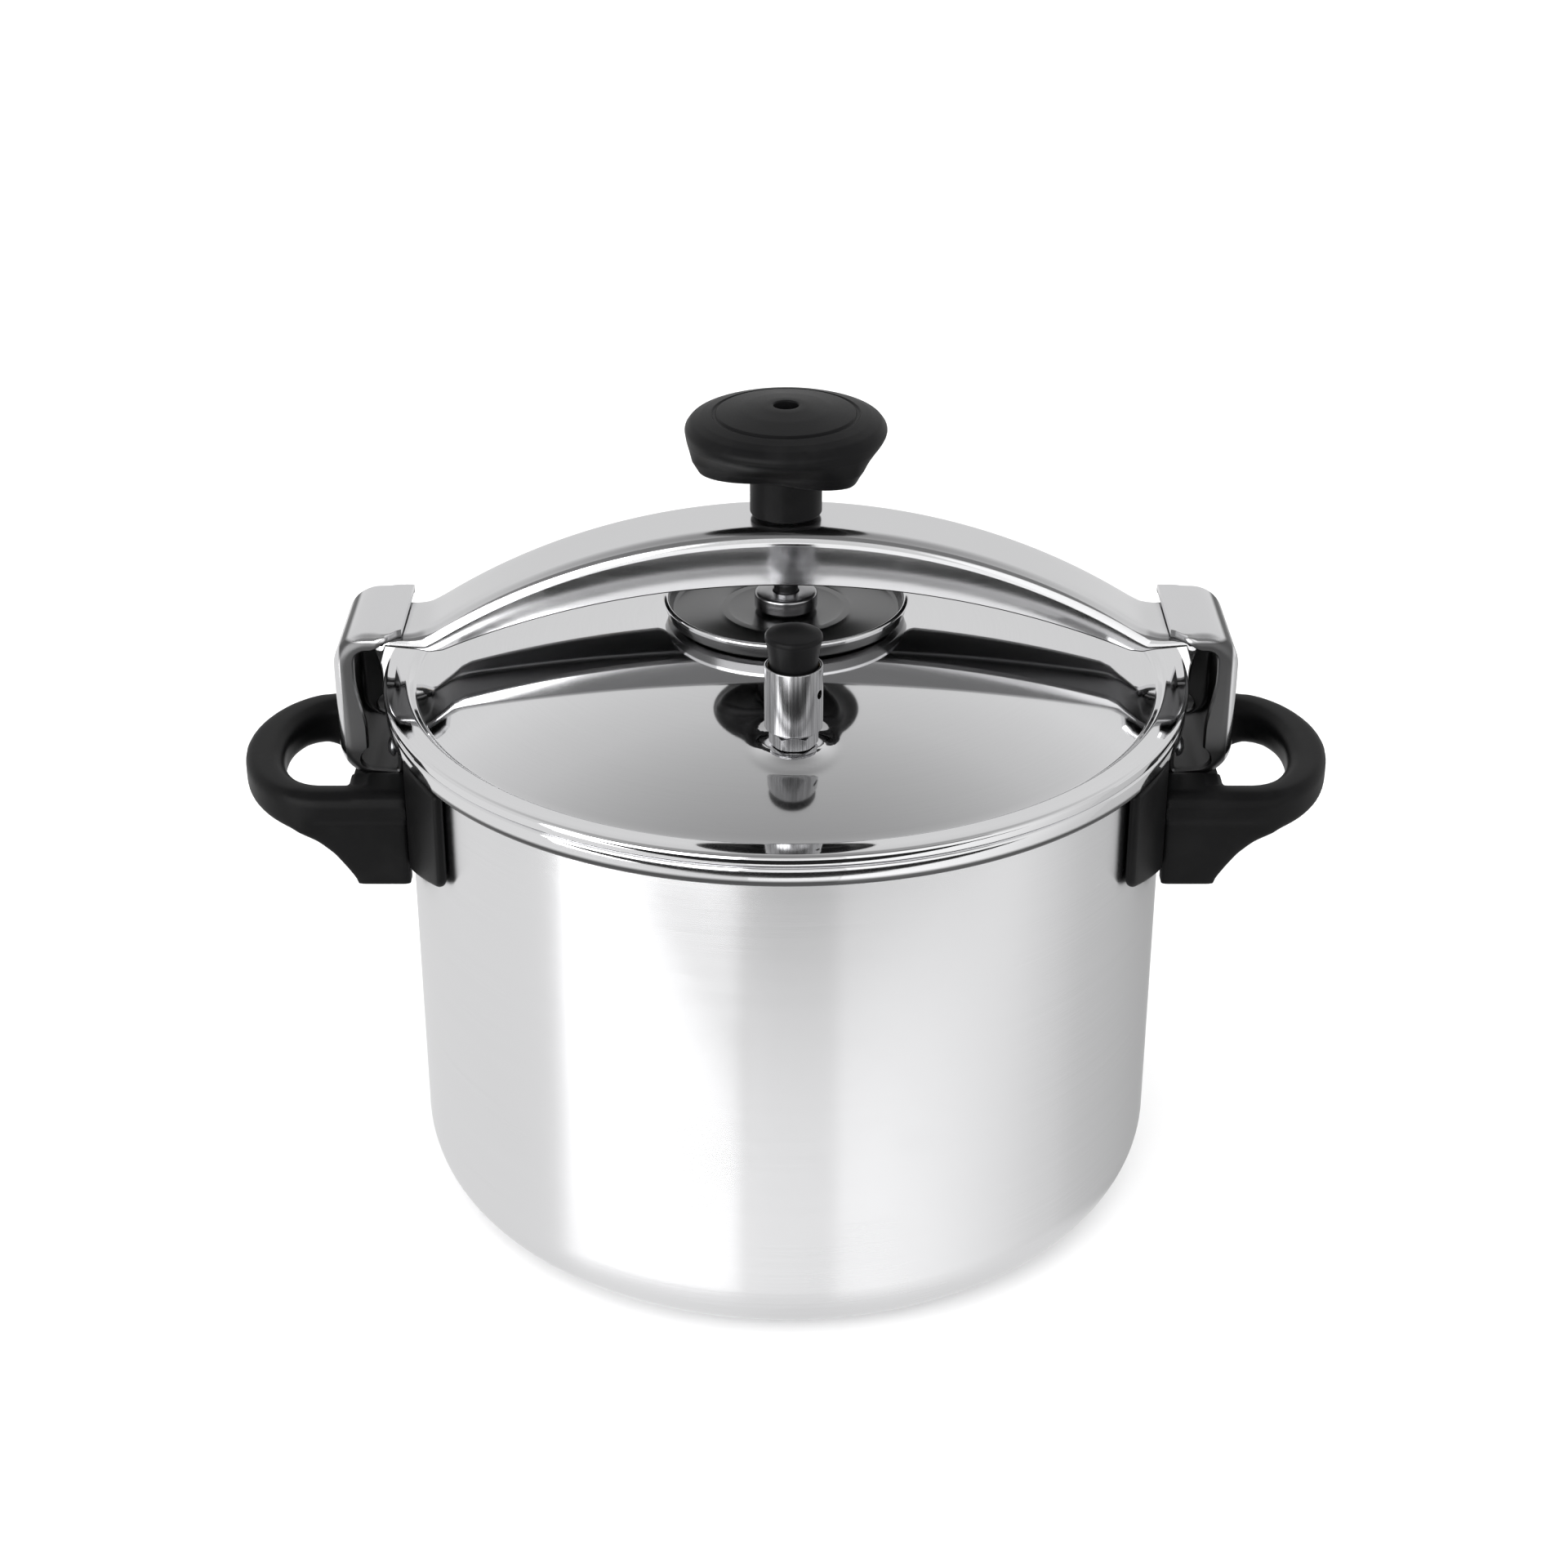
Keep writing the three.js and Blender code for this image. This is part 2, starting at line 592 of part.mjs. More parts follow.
function bridgeBush() {
  const under = BRIDGE_TOP - BRIDGE_SHEET - GAP - 0.3;
  const bore = SPINDLE_RADIUS + TURN_GAP;
  const flange = BRIDGE_WIDTH / 2 - BRIDGE_SHEET - 2 * GAP;
  return turned(
    [
      [bore, BRIDGE_TOP - 12],
      [BUSH_RADIUS + 0.7, BRIDGE_TOP - 12],
      [BUSH_RADIUS + 0.7, under - 2.8],
      [flange, under - 2.8],
      [flange, under],
      [BUSH_RADIUS, under],
      [BUSH_RADIUS, BRIDGE_TOP + 0.3],
      [bore, BRIDGE_TOP + 0.3],
    ],
    32,
  );
}

// ---- Pressure cup and spindle ---------------------------------------------
const HUB_TOP = CUP_BOTTOM + 5.2;
const NUT_TOP = HUB_TOP + GAP + 1.6;
const COLLAR_LOW = CUP_BOTTOM + CUP_SHEET + 1.1;
const SPINDLE_TOP = NECK_END + 9;

function pressureCup() {
  const floor = CUP_BOTTOM + CUP_SHEET;
  const rim = CUP_BOTTOM + CUP_HEIGHT;
  return turned(
    [
      [0, CUP_BOTTOM],
      [CUP_FLOOR_RADIUS, CUP_BOTTOM],
      [CUP_FLOOR_RADIUS + 1.3, CUP_BOTTOM + 0.9],
      [CUP_RADIUS, rim],
      [CUP_RADIUS - 1.5, rim],
      [CUP_FLOOR_RADIUS - 0.3, floor],
      [HUB_RADIUS, floor],
      [HUB_RADIUS, HUB_TOP],
      [HUB_RADIUS - 1.6, HUB_TOP],
      [HUB_RADIUS - 1.6, floor],
      [0, floor],
    ],
    40,
  );
}

const thrustWasher = () =>
  ring(1.5, HUB_RADIUS - 1.6 - GAP, CUP_BOTTOM + CUP_SHEET + GAP, COLLAR_LOW - GAP, 24);

function cupNut() {
  const low = CUP_BOTTOM + CUP_SHEET + 1;
  return turned(
    [
      [HUB_RADIUS + GAP, low],
      [HUB_RADIUS + 2, low],
      [HUB_RADIUS + 2, NUT_TOP - 0.6],
      [HUB_RADIUS + 1.4, NUT_TOP],
      [NECK_RADIUS + TURN_GAP, NUT_TOP],
      [NECK_RADIUS + TURN_GAP, HUB_TOP + GAP],
      [HUB_RADIUS + GAP, HUB_TOP + GAP],
    ],
    32,
  );
}

function spindle() {
  const shoulder = NUT_TOP + 2.6;
  const socket = NECK_END + 2;
  return turned(
    [
      [0, COLLAR_LOW],
      [HUB_RADIUS - 2, COLLAR_LOW],
      [HUB_RADIUS - 2, COLLAR_LOW + 1.8],
      [NECK_RADIUS, COLLAR_LOW + 1.8],
      [NECK_RADIUS, shoulder],
      [SPINDLE_RADIUS, shoulder + 1],
      [SPINDLE_RADIUS, NECK_END + 1.2],
      [STUD_RADIUS, NECK_END + 1.2],
      [STUD_RADIUS, SPINDLE_TOP],
      [2, SPINDLE_TOP],
      [2, socket],
      [0, socket],
    ],
    32,
  );
}

// ---- Knob -----------------------------------------------------------------
const POCKET_TOP = NECK_END + 10;
const SCREW_SEAT = POCKET_TOP + 6.5;

// Lower down, the round knob narrows between three lobes.
function fluted(geometry) {
  const place = geometry.attributes.position;
  const full = KNOB_TOP - KNOB_SKIRT;
  const start = KNOB_TOP - 9.5;
  for (let i = 0; i < place.count; i += 1) {
    const x = place.getX(i);
    const y = place.getY(i);
    const z = place.getZ(i);
    const radius = Math.hypot(x, y);
    if (radius < KNOB_NECK + 1.5 || z > start) continue;
    const depth = THREE.MathUtils.smoothstep(start - z, 0, start - full);
    const flute = 0.5 - 0.5 * Math.cos(3 * (Math.atan2(y, x) - LOBE_TURN));
    const factor = 1 - LOBE_DEPTH * depth * flute;
    place.setXYZ(i, x * factor, y * factor, z);
  }
  return geometry;
}

function knob() {
  const skirt = KNOB_TOP - KNOB_SKIRT;
  const pocket = KNOB_NECK - NECK_WALL;
  const points = [
    [2.1, SCREW_SEAT],
    [2.1, POCKET_TOP],
    [pocket, POCKET_TOP],
    [pocket, NECK_END],
    [KNOB_NECK, NECK_END],
    [KNOB_NECK, skirt + 2.6],
    [12.6, skirt + 2.4],
    [16.2, skirt + 0.8],
    [19, skirt],
    [21.8, skirt + 1.1],
    [24.6, skirt + 4.6],
    [KNOB_RADIUS - 1.6, skirt + 7.4],
    [KNOB_RADIUS, KNOB_TOP - 8.6],
    [KNOB_RADIUS - 1.2, KNOB_TOP - 6],
    [24.2, KNOB_TOP - 3.9],
    [18, KNOB_TOP - 2],
    [10, KNOB_TOP - 0.6],
    [3.5, KNOB_TOP],
    [3.5, SCREW_SEAT],
  ];
  const profile = [...points, points[0]].map(([r, z]) => new THREE.Vector2(r, z));
  const geometry = new THREE.LatheGeometry(profile, 36).rotateX(Math.PI / 2);
  return solidOf(fluted(geometry));
}

function knobInsert() {
  const low = NECK_END + 1.5;
  const high = POCKET_TOP - GAP;
  const prism = disc(KNOB_NECK - NECK_WALL - GAP, low, high, 6);
  return prism.subtract(disc(STUD_RADIUS + GAP, low - 1, high + 1, 24));
}

function knobScrew() {
  const low = NECK_END + 3;
  return turned(
    [
      [0, low],
      [1.7, low],
      [1.7, SCREW_SEAT + GAP],
      [3.1, SCREW_SEAT + GAP],
      [3.1, SCREW_SEAT + 2],
      [2.4, SCREW_SEAT + 2.5],
      [0, SCREW_SEAT + 2.5],
    ],
    20,
  );
}

// ---- Hook brackets --------------------------------------------------------
function hookBracket() {
  const edge = HOOK_SHEET + HOOK_EDGE;
  const right = HOOK_OUTER - HOOK_CORNER;
  const high = HOOK_TOP - HOOK_CORNER;
  const low = HOOK_FLOOR + HOOK_CORNER;
  const leg = POT_RADIUS + HOOK_LEG;
  const inner = HOOK_CORNER - HOOK_SHEET;
  const tight = HOOK_CORNER - edge;
  const profile = [
    [HOOK_LIP_END, HOOK_TOP],
    ...arc([right, high], HOOK_CORNER, 90, 0, 6),
    ...arc([right, low], HOOK_CORNER, 0, -90, 6),
    [POT_RADIUS - 8, HOOK_FLOOR],
    [POT_RADIUS - 8, HOOK_LEG_TOP],
    [leg, HOOK_LEG_TOP],
    [leg, HOOK_FLOOR + HOOK_SHEET],
    [right, HOOK_FLOOR + HOOK_SHEET],
    ...arc([right, HOOK_FLOOR + HOOK_SHEET + tight], tight, -90, 0, 4).slice(1),
    ...arc([right, HOOK_TOP - HOOK_SHEET - tight], tight, 0, 90, 4),
    [HOOK_LIP_END, HOOK_TOP - HOOK_SHEET],
  ];
  const hollow = [
    [right - 1, HOOK_FLOOR + HOOK_SHEET],
    ...arc([right, low], inner, -90, 0, 6),
    ...arc([right, high], inner, 0, 90, 6),
    [right - 1, HOOK_TOP - HOOK_SHEET],
  ];
  const reach = 6;
  const front = outline([
    [HOOK_LIP_END - 1, -HOOK_HALF_DEPTH + reach],
    [HOOK_LIP_END - 1, -HOOK_HALF_DEPTH - 1],
    [HOOK_LIP_END + reach, -HOOK_HALF_DEPTH - 1],
    [HOOK_LIP_END + reach - 1, -HOOK_HALF_DEPTH],
    [HOOK_LIP_END, -HOOK_HALF_DEPTH + reach - 1],
  ]);
  const wall = disc(POT_RADIUS + GAP, HOOK_FLOOR - 5, HOOK_LEG_TOP + 5, ROUND);
  let hook = acrossY(outline(profile.reverse()), HOOK_HALF_DEPTH)
    .subtract(acrossY(outline(hollow), HOOK_HALF_DEPTH - HOOK_EDGE_WIDTH))
    .subtract(upZ(front, HOOK_TOP - HOOK_SHEET - 1, HOOK_TOP + 1))
    .subtract(wall);
  for (const y of [RIVET_SPACING, -RIVET_SPACING]) hook = hook.subtract(rivetHole(1, y));
  return hook;
}

function hookRivet(y) {
  const outside = POT_RADIUS + HOOK_LEG + GAP;
  const inside = Math.sqrt(WALL_INSIDE ** 2 - (RIVET_SPACING + RIVET_HEAD + 0.3) ** 2) - GAP;
  const shank = barX(RIVET_RADIUS, inside - 1, outside + 1, y, RIVET_HEIGHT, 16);
  const dome = turned([[0, 0], [RIVET_HEAD, 0], [RIVET_HEAD * 0.8, 1.1], [0, 1.7]], 16);
  const outer = dome.rotate([0, 90, 0]).translate([outside, y, RIVET_HEIGHT]);
  const flat = barX(RIVET_HEAD, inside - 1.4, inside, y, RIVET_HEIGHT, 16);
  return shank.add(outer).add(flat);
}

// ---- Handles --------------------------------------------------------------
function handlePlan() {
  const plan = new THREE.Shape();
  const start = POT_RADIUS - 14;
  plan.moveTo(start, -HANDLE_HALF);
  plan.lineTo(HANDLE_CENTRE, -HANDLE_HALF);
  const reach = HANDLE_END - HANDLE_CENTRE;
  const half = Math.PI / 2;
  plan.absellipse(HANDLE_CENTRE, 0, reach, HANDLE_HALF, -half, half, false);
  plan.lineTo(start, HANDLE_HALF);
  plan.closePath();
  const hole = new THREE.Path();
  hole.moveTo(HOLE_START, -HOLE_HALF + 3);
  hole.lineTo(HOLE_START + 3, -HOLE_HALF);
  hole.lineTo(HANDLE_CENTRE, -HOLE_HALF);
  hole.absellipse(HANDLE_CENTRE, 0, HOLE_END - HANDLE_CENTRE, HOLE_HALF, -half, half, false);
  hole.lineTo(HOLE_START + 3, HOLE_HALF);
  hole.lineTo(HOLE_START, HOLE_HALF - 3);
  hole.closePath();
  plan.holes.push(hole);
  return plan;
}

function handleSide() {
  const side = new THREE.Shape();
  const top = HANDLE_TOP;
  side.moveTo(POT_RADIUS - 14, HANDLE_BOTTOM);
  side.lineTo(HOLE_START - 2.2, HANDLE_BOTTOM);
  side.quadraticCurveTo(HANDLE_CENTRE - 1.5, top - 14, HANDLE_CENTRE + 8, top - 12);
  side.quadraticCurveTo(HANDLE_CENTRE + 14, top - 10.4, HANDLE_END - 3, top - 10);
  side.quadraticCurveTo(HANDLE_END + 1.2, top - 8.5, HANDLE_END + 1, top - 5);
  side.quadraticCurveTo(HANDLE_END, top - 1, HANDLE_END - 4, top);
  side.lineTo(POT_RADIUS - 14, top);
  side.closePath();
  return side;
}

function handle() {
  const pocket = POT_RADIUS + SADDLE_POCKET + 2 * GAP;
  const seat = block(
    [POT_RADIUS - 20, HOLE_START + 4],
    [-HOOK_HALF_DEPTH - 1, HOOK_HALF_DEPTH + 1],
    [SEAT_TOP, HANDLE_TOP + 5],
  );
  return upZ(handlePlan(), HANDLE_BOTTOM - 5, HANDLE_TOP + 5, 24)
    .intersect(acrossY(handleSide(), HANDLE_HALF + 5, 6))
    .subtract(disc(pocket, HANDLE_BOTTOM - 9, HANDLE_TOP + 9, ROUND))
    .subtract(seat)
    .subtract(barX(BOSS_RADIUS + GAP, WITHIN, BOSS_END + GAP, 0, SCREW_HEIGHT))
    .subtract(barX(SCREW_RADIUS + GAP, WITHIN, HANDLE_END, 0, SCREW_HEIGHT, 16))
    .subtract(barX(SCREW_HEAD + GAP, HOLE_START - 3, HANDLE_END, 0, SCREW_HEIGHT));
}

const handleBoss = () =>
  barX(BOSS_RADIUS, WITHIN, BOSS_END, 0, SCREW_HEIGHT)
    .subtract(disc(POT_RADIUS + GAP, HANDLE_BOTTOM - 5, HOOK_FLOOR, ROUND))
    .subtract(barX(SCREW_RADIUS + GAP, POT_RADIUS + 1.5, HANDLE_END, 0, SCREW_HEIGHT, 16));

function handleScrew() {
  const head = HOLE_START - 3 + GAP;
  return barX(SCREW_RADIUS, POT_RADIUS + 2, head + 1, 0, SCREW_HEIGHT, 16).add(
    barX(SCREW_HEAD, head, head + 2.4, 0, SCREW_HEIGHT),
  );
}

function saddle() {
  const low = SADDLE_BOTTOM;
  const c = SADDLE_CORNER;
  const half = SADDLE_HALF;
  const face = outline([
    [-half, SADDLE_TOP],
    ...arc([-half + c, low + c], c, 180, 270, 6),
    ...arc([half - c, low + c], c, 270, 360, 6),
    [half, SADDLE_TOP],
  ]);
  const inner = POT_RADIUS + GAP;
  const pocket = POT_RADIUS + SADDLE_POCKET + GAP;
  const shell = ring(inner, POT_RADIUS + SADDLE_SHEET, low - 1, SADDLE_TOP + 1, ROUND);
  const recess = ring(pocket, POT_RADIUS + 20, low - 5, SADDLE_TOP + 5, ROUND).intersect(
    block([0, BEYOND], [-HANDLE_HALF - GAP, HANDLE_HALF + GAP], [low - 5, SADDLE_TOP + 5]),
  );
  const notch = block(
    [0, BEYOND],
    [-HOOK_HALF_DEPTH - GAP, HOOK_HALF_DEPTH + GAP],
    [HOOK_FLOOR - 0.5, SADDLE_TOP + 5],
  );
  return shell
    .intersect(alongX(face, 0, BEYOND))
    .subtract(recess)
    .subtract(notch)
    .subtract(barX(BOSS_RADIUS + GAP, WITHIN, BEYOND, 0, SCREW_HEIGHT));
}

// ---- Assembly -------------------------------------------------------------
add("pot_shell", potShell(), BRUSHED);
add("base_disc", baseDisc(), BRUSHED);
addPair("hook_bracket", hookBracket(), POLISHED);
addPair("hook_rivet_front", hookRivet(-RIVET_SPACING), POLISHED);
addPair("hook_rivet_rear", hookRivet(RIVET_SPACING), POLISHED);
addPair("handle", handle(), BAKELITE);
addPair("handle_saddle", saddle(), BAKELITE);
addPair("handle_boss", handleBoss(), STEEL);
addPair("handle_screw", handleScrew(), STEEL);

add("lid_shell", lidShell(), POLISHED);
add("lid_gasket", gasket(), RUBBER);

add("valve_nozzle", valveNozzle(), POLISHED);
add("valve_washer", stemWasher(VALVE_PLACE, VALVE_SEAT), RUBBER);
add("valve_nut", stemNut(VALVE_PLACE, VALVE_SEAT), STEEL);
add("valve_sleeve", valveSleeve(), POLISHED);
add("valve_bush", valveBush(), BRASS);
add("valve_needle", valveNeedle(), STEEL);
add("valve_spring", valveSpring(), STEEL);
add("valve_cap", valveCap(), BAKELITE);

add("safety_body", safetyBody(), BRASS);
add("safety_washer", stemWasher(SAFETY_PLACE, SAFETY_SEAT), RUBBER);
add("safety_nut", stemNut(SAFETY_PLACE, SAFETY_SEAT), STEEL);
add("safety_pin", safetyPin(), STEEL);
add("safety_spring", safetySpring(), STEEL);

add("bridge", bridge(), POLISHED);
add("bridge_bush", bridgeBush(), STEEL);
add("pressure_cup", pressureCup(), POLISHED);
add("thrust_washer", thrustWasher(), BRASS);
add("cup_nut", cupNut(), POLISHED);
add("spindle", spindle(), POLISHED);
add("knob", knob(), BAKELITE);
add("knob_insert", knobInsert(), BRASS);
add("knob_screw", knobScrew(), STEEL);

export default cooker;
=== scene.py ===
"""Stovetop pressure cooker with a clamping bridge: the looks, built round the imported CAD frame.

Sizes below are in millimetres in the row frame, X from handle to handle and Z up.
"""
import json
import math

import bpy
import bmesh
import numpy as np
from mathutils import Matrix, Vector

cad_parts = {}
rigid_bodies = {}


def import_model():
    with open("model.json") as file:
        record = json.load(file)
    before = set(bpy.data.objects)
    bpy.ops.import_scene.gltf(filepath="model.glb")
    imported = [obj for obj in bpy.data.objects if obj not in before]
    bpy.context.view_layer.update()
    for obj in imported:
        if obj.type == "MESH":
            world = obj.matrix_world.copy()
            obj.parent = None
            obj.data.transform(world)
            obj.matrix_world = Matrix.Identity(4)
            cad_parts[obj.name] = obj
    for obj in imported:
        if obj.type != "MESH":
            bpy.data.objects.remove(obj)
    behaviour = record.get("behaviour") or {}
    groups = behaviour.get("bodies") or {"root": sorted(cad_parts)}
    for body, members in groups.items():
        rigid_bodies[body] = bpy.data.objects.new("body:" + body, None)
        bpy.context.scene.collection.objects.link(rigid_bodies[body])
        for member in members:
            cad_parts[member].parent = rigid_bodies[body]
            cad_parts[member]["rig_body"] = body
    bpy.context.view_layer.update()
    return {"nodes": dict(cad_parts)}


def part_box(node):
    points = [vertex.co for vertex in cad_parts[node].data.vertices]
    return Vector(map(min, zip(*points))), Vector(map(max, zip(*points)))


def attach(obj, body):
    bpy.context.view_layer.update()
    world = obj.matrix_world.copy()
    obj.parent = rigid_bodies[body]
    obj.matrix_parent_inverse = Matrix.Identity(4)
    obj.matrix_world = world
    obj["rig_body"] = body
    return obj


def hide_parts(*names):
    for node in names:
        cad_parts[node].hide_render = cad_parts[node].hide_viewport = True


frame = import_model()

MM = 0.001


def span(node):
    """The lowest and highest corner of a CAD node, in millimetres."""
    low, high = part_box(node)
    return low / MM, high / MM


# ---- Sizes ----------------------------------------------------------------
POT_RADIUS = 110.5
POT_WALL = 1.2
POT_CORNER, CORNER_RISE = 21, 20.8
POT_FLOOR, POT_TOP = span("pot_shell")[0].z, span("pot_shell")[1].z
RIM_RADIUS = 115.9
ROLL_LOW, SHADE_LOW, SHADE_HIGH = 151.5, 150.5, 154.4
BASE_THICK = span("base_disc")[1].z
LID_RADIUS = 116.2
LID_SHEET = 1.5
DOME_RADIUS, CROWN_RADIUS, LAND_RADIUS = 106, 290, 36.5
DOME_EDGE = POT_TOP + 2.1
CROWN_CENTRE = DOME_EDGE - math.sqrt(CROWN_RADIUS**2 - DOME_RADIUS**2)
BRIDGE_HALF, BRIDGE_TOP = 121.8, span("bridge")[1].z
BRIDGE_WIDE, BRIDGE_SHEET = 13.5, 2.5
BRIDGE_END = BRIDGE_TOP - 32.2
ARCH_RADIUS, ARCH_END, ARCH_EASE = 184, 97, 11
SKIRT_RADIUS, SKIRT_END, SKIRT_DROP = 248, 98, 16.5
END_ROUND, END_BEVEL, BRIDGE_BEND = 2.4, 1.2, 4.6
HOOK_TOP, HOOK_FLOOR = span("hook_bracket_right")[1].z, span("hook_bracket_right")[0].z
HOOK_OUTER, HOOK_LIP, HOOK_WIDE, HOOK_SHEET = 128.5, 109, 19.5, 2.4
HOOK_BEND, FOOT_BEND = 10, 3.2
HOLLOW_OUT, HOLLOW_LOW, HOLLOW_HIGH = 126.8, 135.5, 177.8
HANDLE_TOP, HANDLE_BOTTOM = span("handle_right")[1].z, span("handle_right")[0].z
HANDLE_END, HANDLE_CENTRE, HANDLE_WIDE = 158.5, 133, 36
HOLE_END, HOLE_WIDE, HOLE_START = 147, 25, 125.3
HANDLE_ROLL, LINE_TOP, LINE_BOTTOM, SIDE_TUCK = 6.2, 8.2, 9.2, 0.9
ROOT_START, SEAT_HALF = 108, 20.5
SADDLE_WIDE, SADDLE_CORNER, SADDLE_RISE, SADDLE_THICK = 59, 4, 6.5, 3.1
SCREW_HEIGHT, BOSS_RADIUS = HANDLE_BOTTOM + 15, 6.8
VALVE, VALVE_SEAT = (2, -71), 171.2
SAFETY, SAFETY_SEAT = (-56, 48), 170.3
HEXAGON, STEM_RADIUS = 6.6, 3.9
KNOB_TOP, KNOB_RADIUS, KNOB_NECK = span("knob")[1].z, 28.4, 10.2
NECK_END = span("knob")[0].z
LOBES_AT = math.radians(76)
THREAD_PITCH, THREAD_RADIUS, TIP_RADIUS = 2.5, 4.9, 3.9


def dome_height(r):
    return CROWN_CENTRE + math.sqrt(CROWN_RADIUS**2 - r * r)


LAND = dome_height(LAND_RADIUS)


def ease(x, low=0.0, high=1.0):
    t = min(max((x - low) / (high - low), 0), 1)
    return t * t * (3 - 2 * t)


# ---- Shader wiring --------------------------------------------------------
class Wire:
    """A socket that takes part in sums, each of which adds a Math node."""

    def __init__(self, tree, socket):
        self.tree, self.socket = tree, socket

    def sum(self, operation, *terms):
        node = self.tree.nodes.new("ShaderNodeMath")
        node.operation = operation
        for term, place in zip(terms, node.inputs):
            if isinstance(term, Wire):
                self.tree.links.new(term.socket, place)
            else:
                place.default_value = term
        return Wire(self.tree, node.outputs[0])

    def __add__(self, other):
        return self.sum("ADD", self, other)

    def __sub__(self, other):
        return self.sum("SUBTRACT", self, other)

    def __rsub__(self, other):
        return self.sum("SUBTRACT", other, self)

    def __mul__(self, other):
        return self.sum("MULTIPLY", self, other)

    def step(self, low, high):
        """0 below low, 1 above high and a soft change between."""
        node = self.tree.nodes.new("ShaderNodeMapRange")
        node.interpolation_type = "SMOOTHSTEP"
        self.tree.links.new(self.socket, node.inputs["Value"])
        node.inputs["From Min"].default_value = low
        node.inputs["From Max"].default_value = high
        return Wire(self.tree, node.outputs[0])


class Finish:
    """A material round one Principled shader; plain values go on the shader's own sockets."""

    def __init__(self, name, **plain):
        self.material = bpy.data.materials.new(name)
        self.material.use_nodes = True
        self.tree = self.material.node_tree
        self.shader = self.tree.nodes["Principled BSDF"]
        for socket, value in plain.items():
            self.shader.inputs[socket.replace("_", " ")].default_value = value

    def node(self, kind, settings=None, inputs=None, output=0):
        made = self.tree.nodes.new("ShaderNode" + kind)
        for key, value in (settings or {}).items():
            setattr(made, key, value)
        for key, value in (inputs or {}).items():
            if isinstance(value, Wire):
                self.tree.links.new(value.socket, made.inputs[key])
            else:
                made.inputs[key].default_value = value
        return Wire(self.tree, made.outputs[output])

    def feed(self, socket, wire):
        self.tree.links.new(wire.socket, self.shader.inputs[socket])

    def place(self):
        return self.node("TexCoord", output="Object")

    def axes(self):
        made = self.node("SeparateXYZ", inputs={"Vector": self.place()})
        return [Wire(self.tree, made.socket.node.outputs[i]) for i in range(3)]

    def facing(self):
        normal = self.node("NewGeometry", output="Normal")
        made = self.node("SeparateXYZ", inputs={"Vector": normal})
        return [Wire(self.tree, made.socket.node.outputs[i]) for i in range(3)]

    def vector(self, x, y, z):
        return self.node("CombineXYZ", inputs={"X": x, "Y": y, "Z": z})

    def noise(self, where, scale=1.0, detail=2.0, roughness=0.5):
        inputs = {"Vector": where, "Scale": scale, "Detail": detail, "Roughness": roughness}
        return self.node("TexNoise", inputs=inputs)

    def stretched(self, x, y, z):
        """Object place in metres, with its own number of grains a metre along each axis."""
        inputs = {0: self.place(), 1: (x, y, z)}
        return self.node("VectorMath", {"operation": "MULTIPLY"}, inputs)

    def round_lines(self, fine, slow):
        """Lines round the upright axis, fine of them a metre."""
        x, y, z = self.axes()
        angle = self.node("Math", {"operation": "ARCTAN2"}, {0: y, 1: x})
        radius = x.sum("SQRT", x * x + y * y)
        return self.vector(angle * slow, radius * fine, z * fine)

    def tint(self, low, high, factor):
        ends = [end if isinstance(end, Wire) else (*end, 1) for end in (low, high)]
        inputs = {"Factor": factor, 6: ends[0], 7: ends[1]}
        return self.node("Mix", {"data_type": "RGBA"}, inputs, output=2)

    def bump(self, height, strength, distance=0.0002):
        inputs = {"Height": height, "Strength": strength, "Distance": distance}
        self.feed("Normal", self.node("Bump", inputs=inputs))


def metal(
    name, colour, rough, lines, spread=0.06, depth=0.1, marks=0.05, shade=0.93, parts=(), **plain
):
    """Worked metal: tool or brushing lines and faint smudges.

    Each of its parts is a mask, more roughness and the share of the colour left there; a low share paints shade into
    the colour.
    """
    finish = Finish(name, Metallic=1.0, **plain)
    grain = finish.noise(lines(finish), 1.0, 3.0, 0.6)
    smudge = finish.noise(finish.place(), 26.0, 4.0, 0.55)
    rough = (grain - 0.5) * spread + rough + smudge.step(0.5, 0.72) * marks
    dark = [channel * shade for channel in colour]
    tone = finish.tint(dark, colour, grain.step(0.3, 0.66))
    for mask, more, share in parts:
        cover = mask(finish)
        rough = rough + cover * more
        tone = finish.tint(tone, [channel * share for channel in colour], cover)
    finish.feed("Roughness", rough)
    finish.feed("Base Color", tone)
    finish.bump(grain, depth, 0.00006)
    return finish.material


def moulded(name, colour, rough, grain=2600, depth=0.22, worn=0.02):
    """Moulded plastic or rubber: a fine sparked grain, and a faint haze from handling."""
    finish = Finish(name, Specular_IOR_Level=0.1)
    pebble = finish.noise(finish.place(), grain, 2.0, 0.55)
    haze = finish.noise(finish.place(), 55.0, 4.0, 0.6)
    finish.feed("Roughness", (pebble - 0.5) * 0.12 + (haze - 0.5) * 0.16 + rough)
    light = [channel + worn for channel in colour]
    finish.feed("Base Color", finish.tint(colour, light, haze.step(0.45, 0.75)))
    finish.bump(pebble, depth, 0.00012)
    return finish.material


def around(fine, slow=1.4):
    return lambda finish: finish.round_lines(fine, slow)


def along(x, y, z):
    return lambda finish: finish.stretched(x, y, z)


def upward(finish):
    """The faces that look up, which are brushed rather than polished."""
    return finish.facing()[2].step(0.55, 0.8)


def bridge_hollow_painted_shade(finish):
    """The hollow side of the channel and the faces that look down: rougher, as they aren't polished, and darkened with
    painted shade.
    """
    y = finish.axes()[1]
    side, up = finish.facing()[1:]
    inward = (side * y * -100.0).step(0.1, 0.5)
    return side.sum("MAXIMUM", inward, (up * -1.0).step(0.25, 0.6))


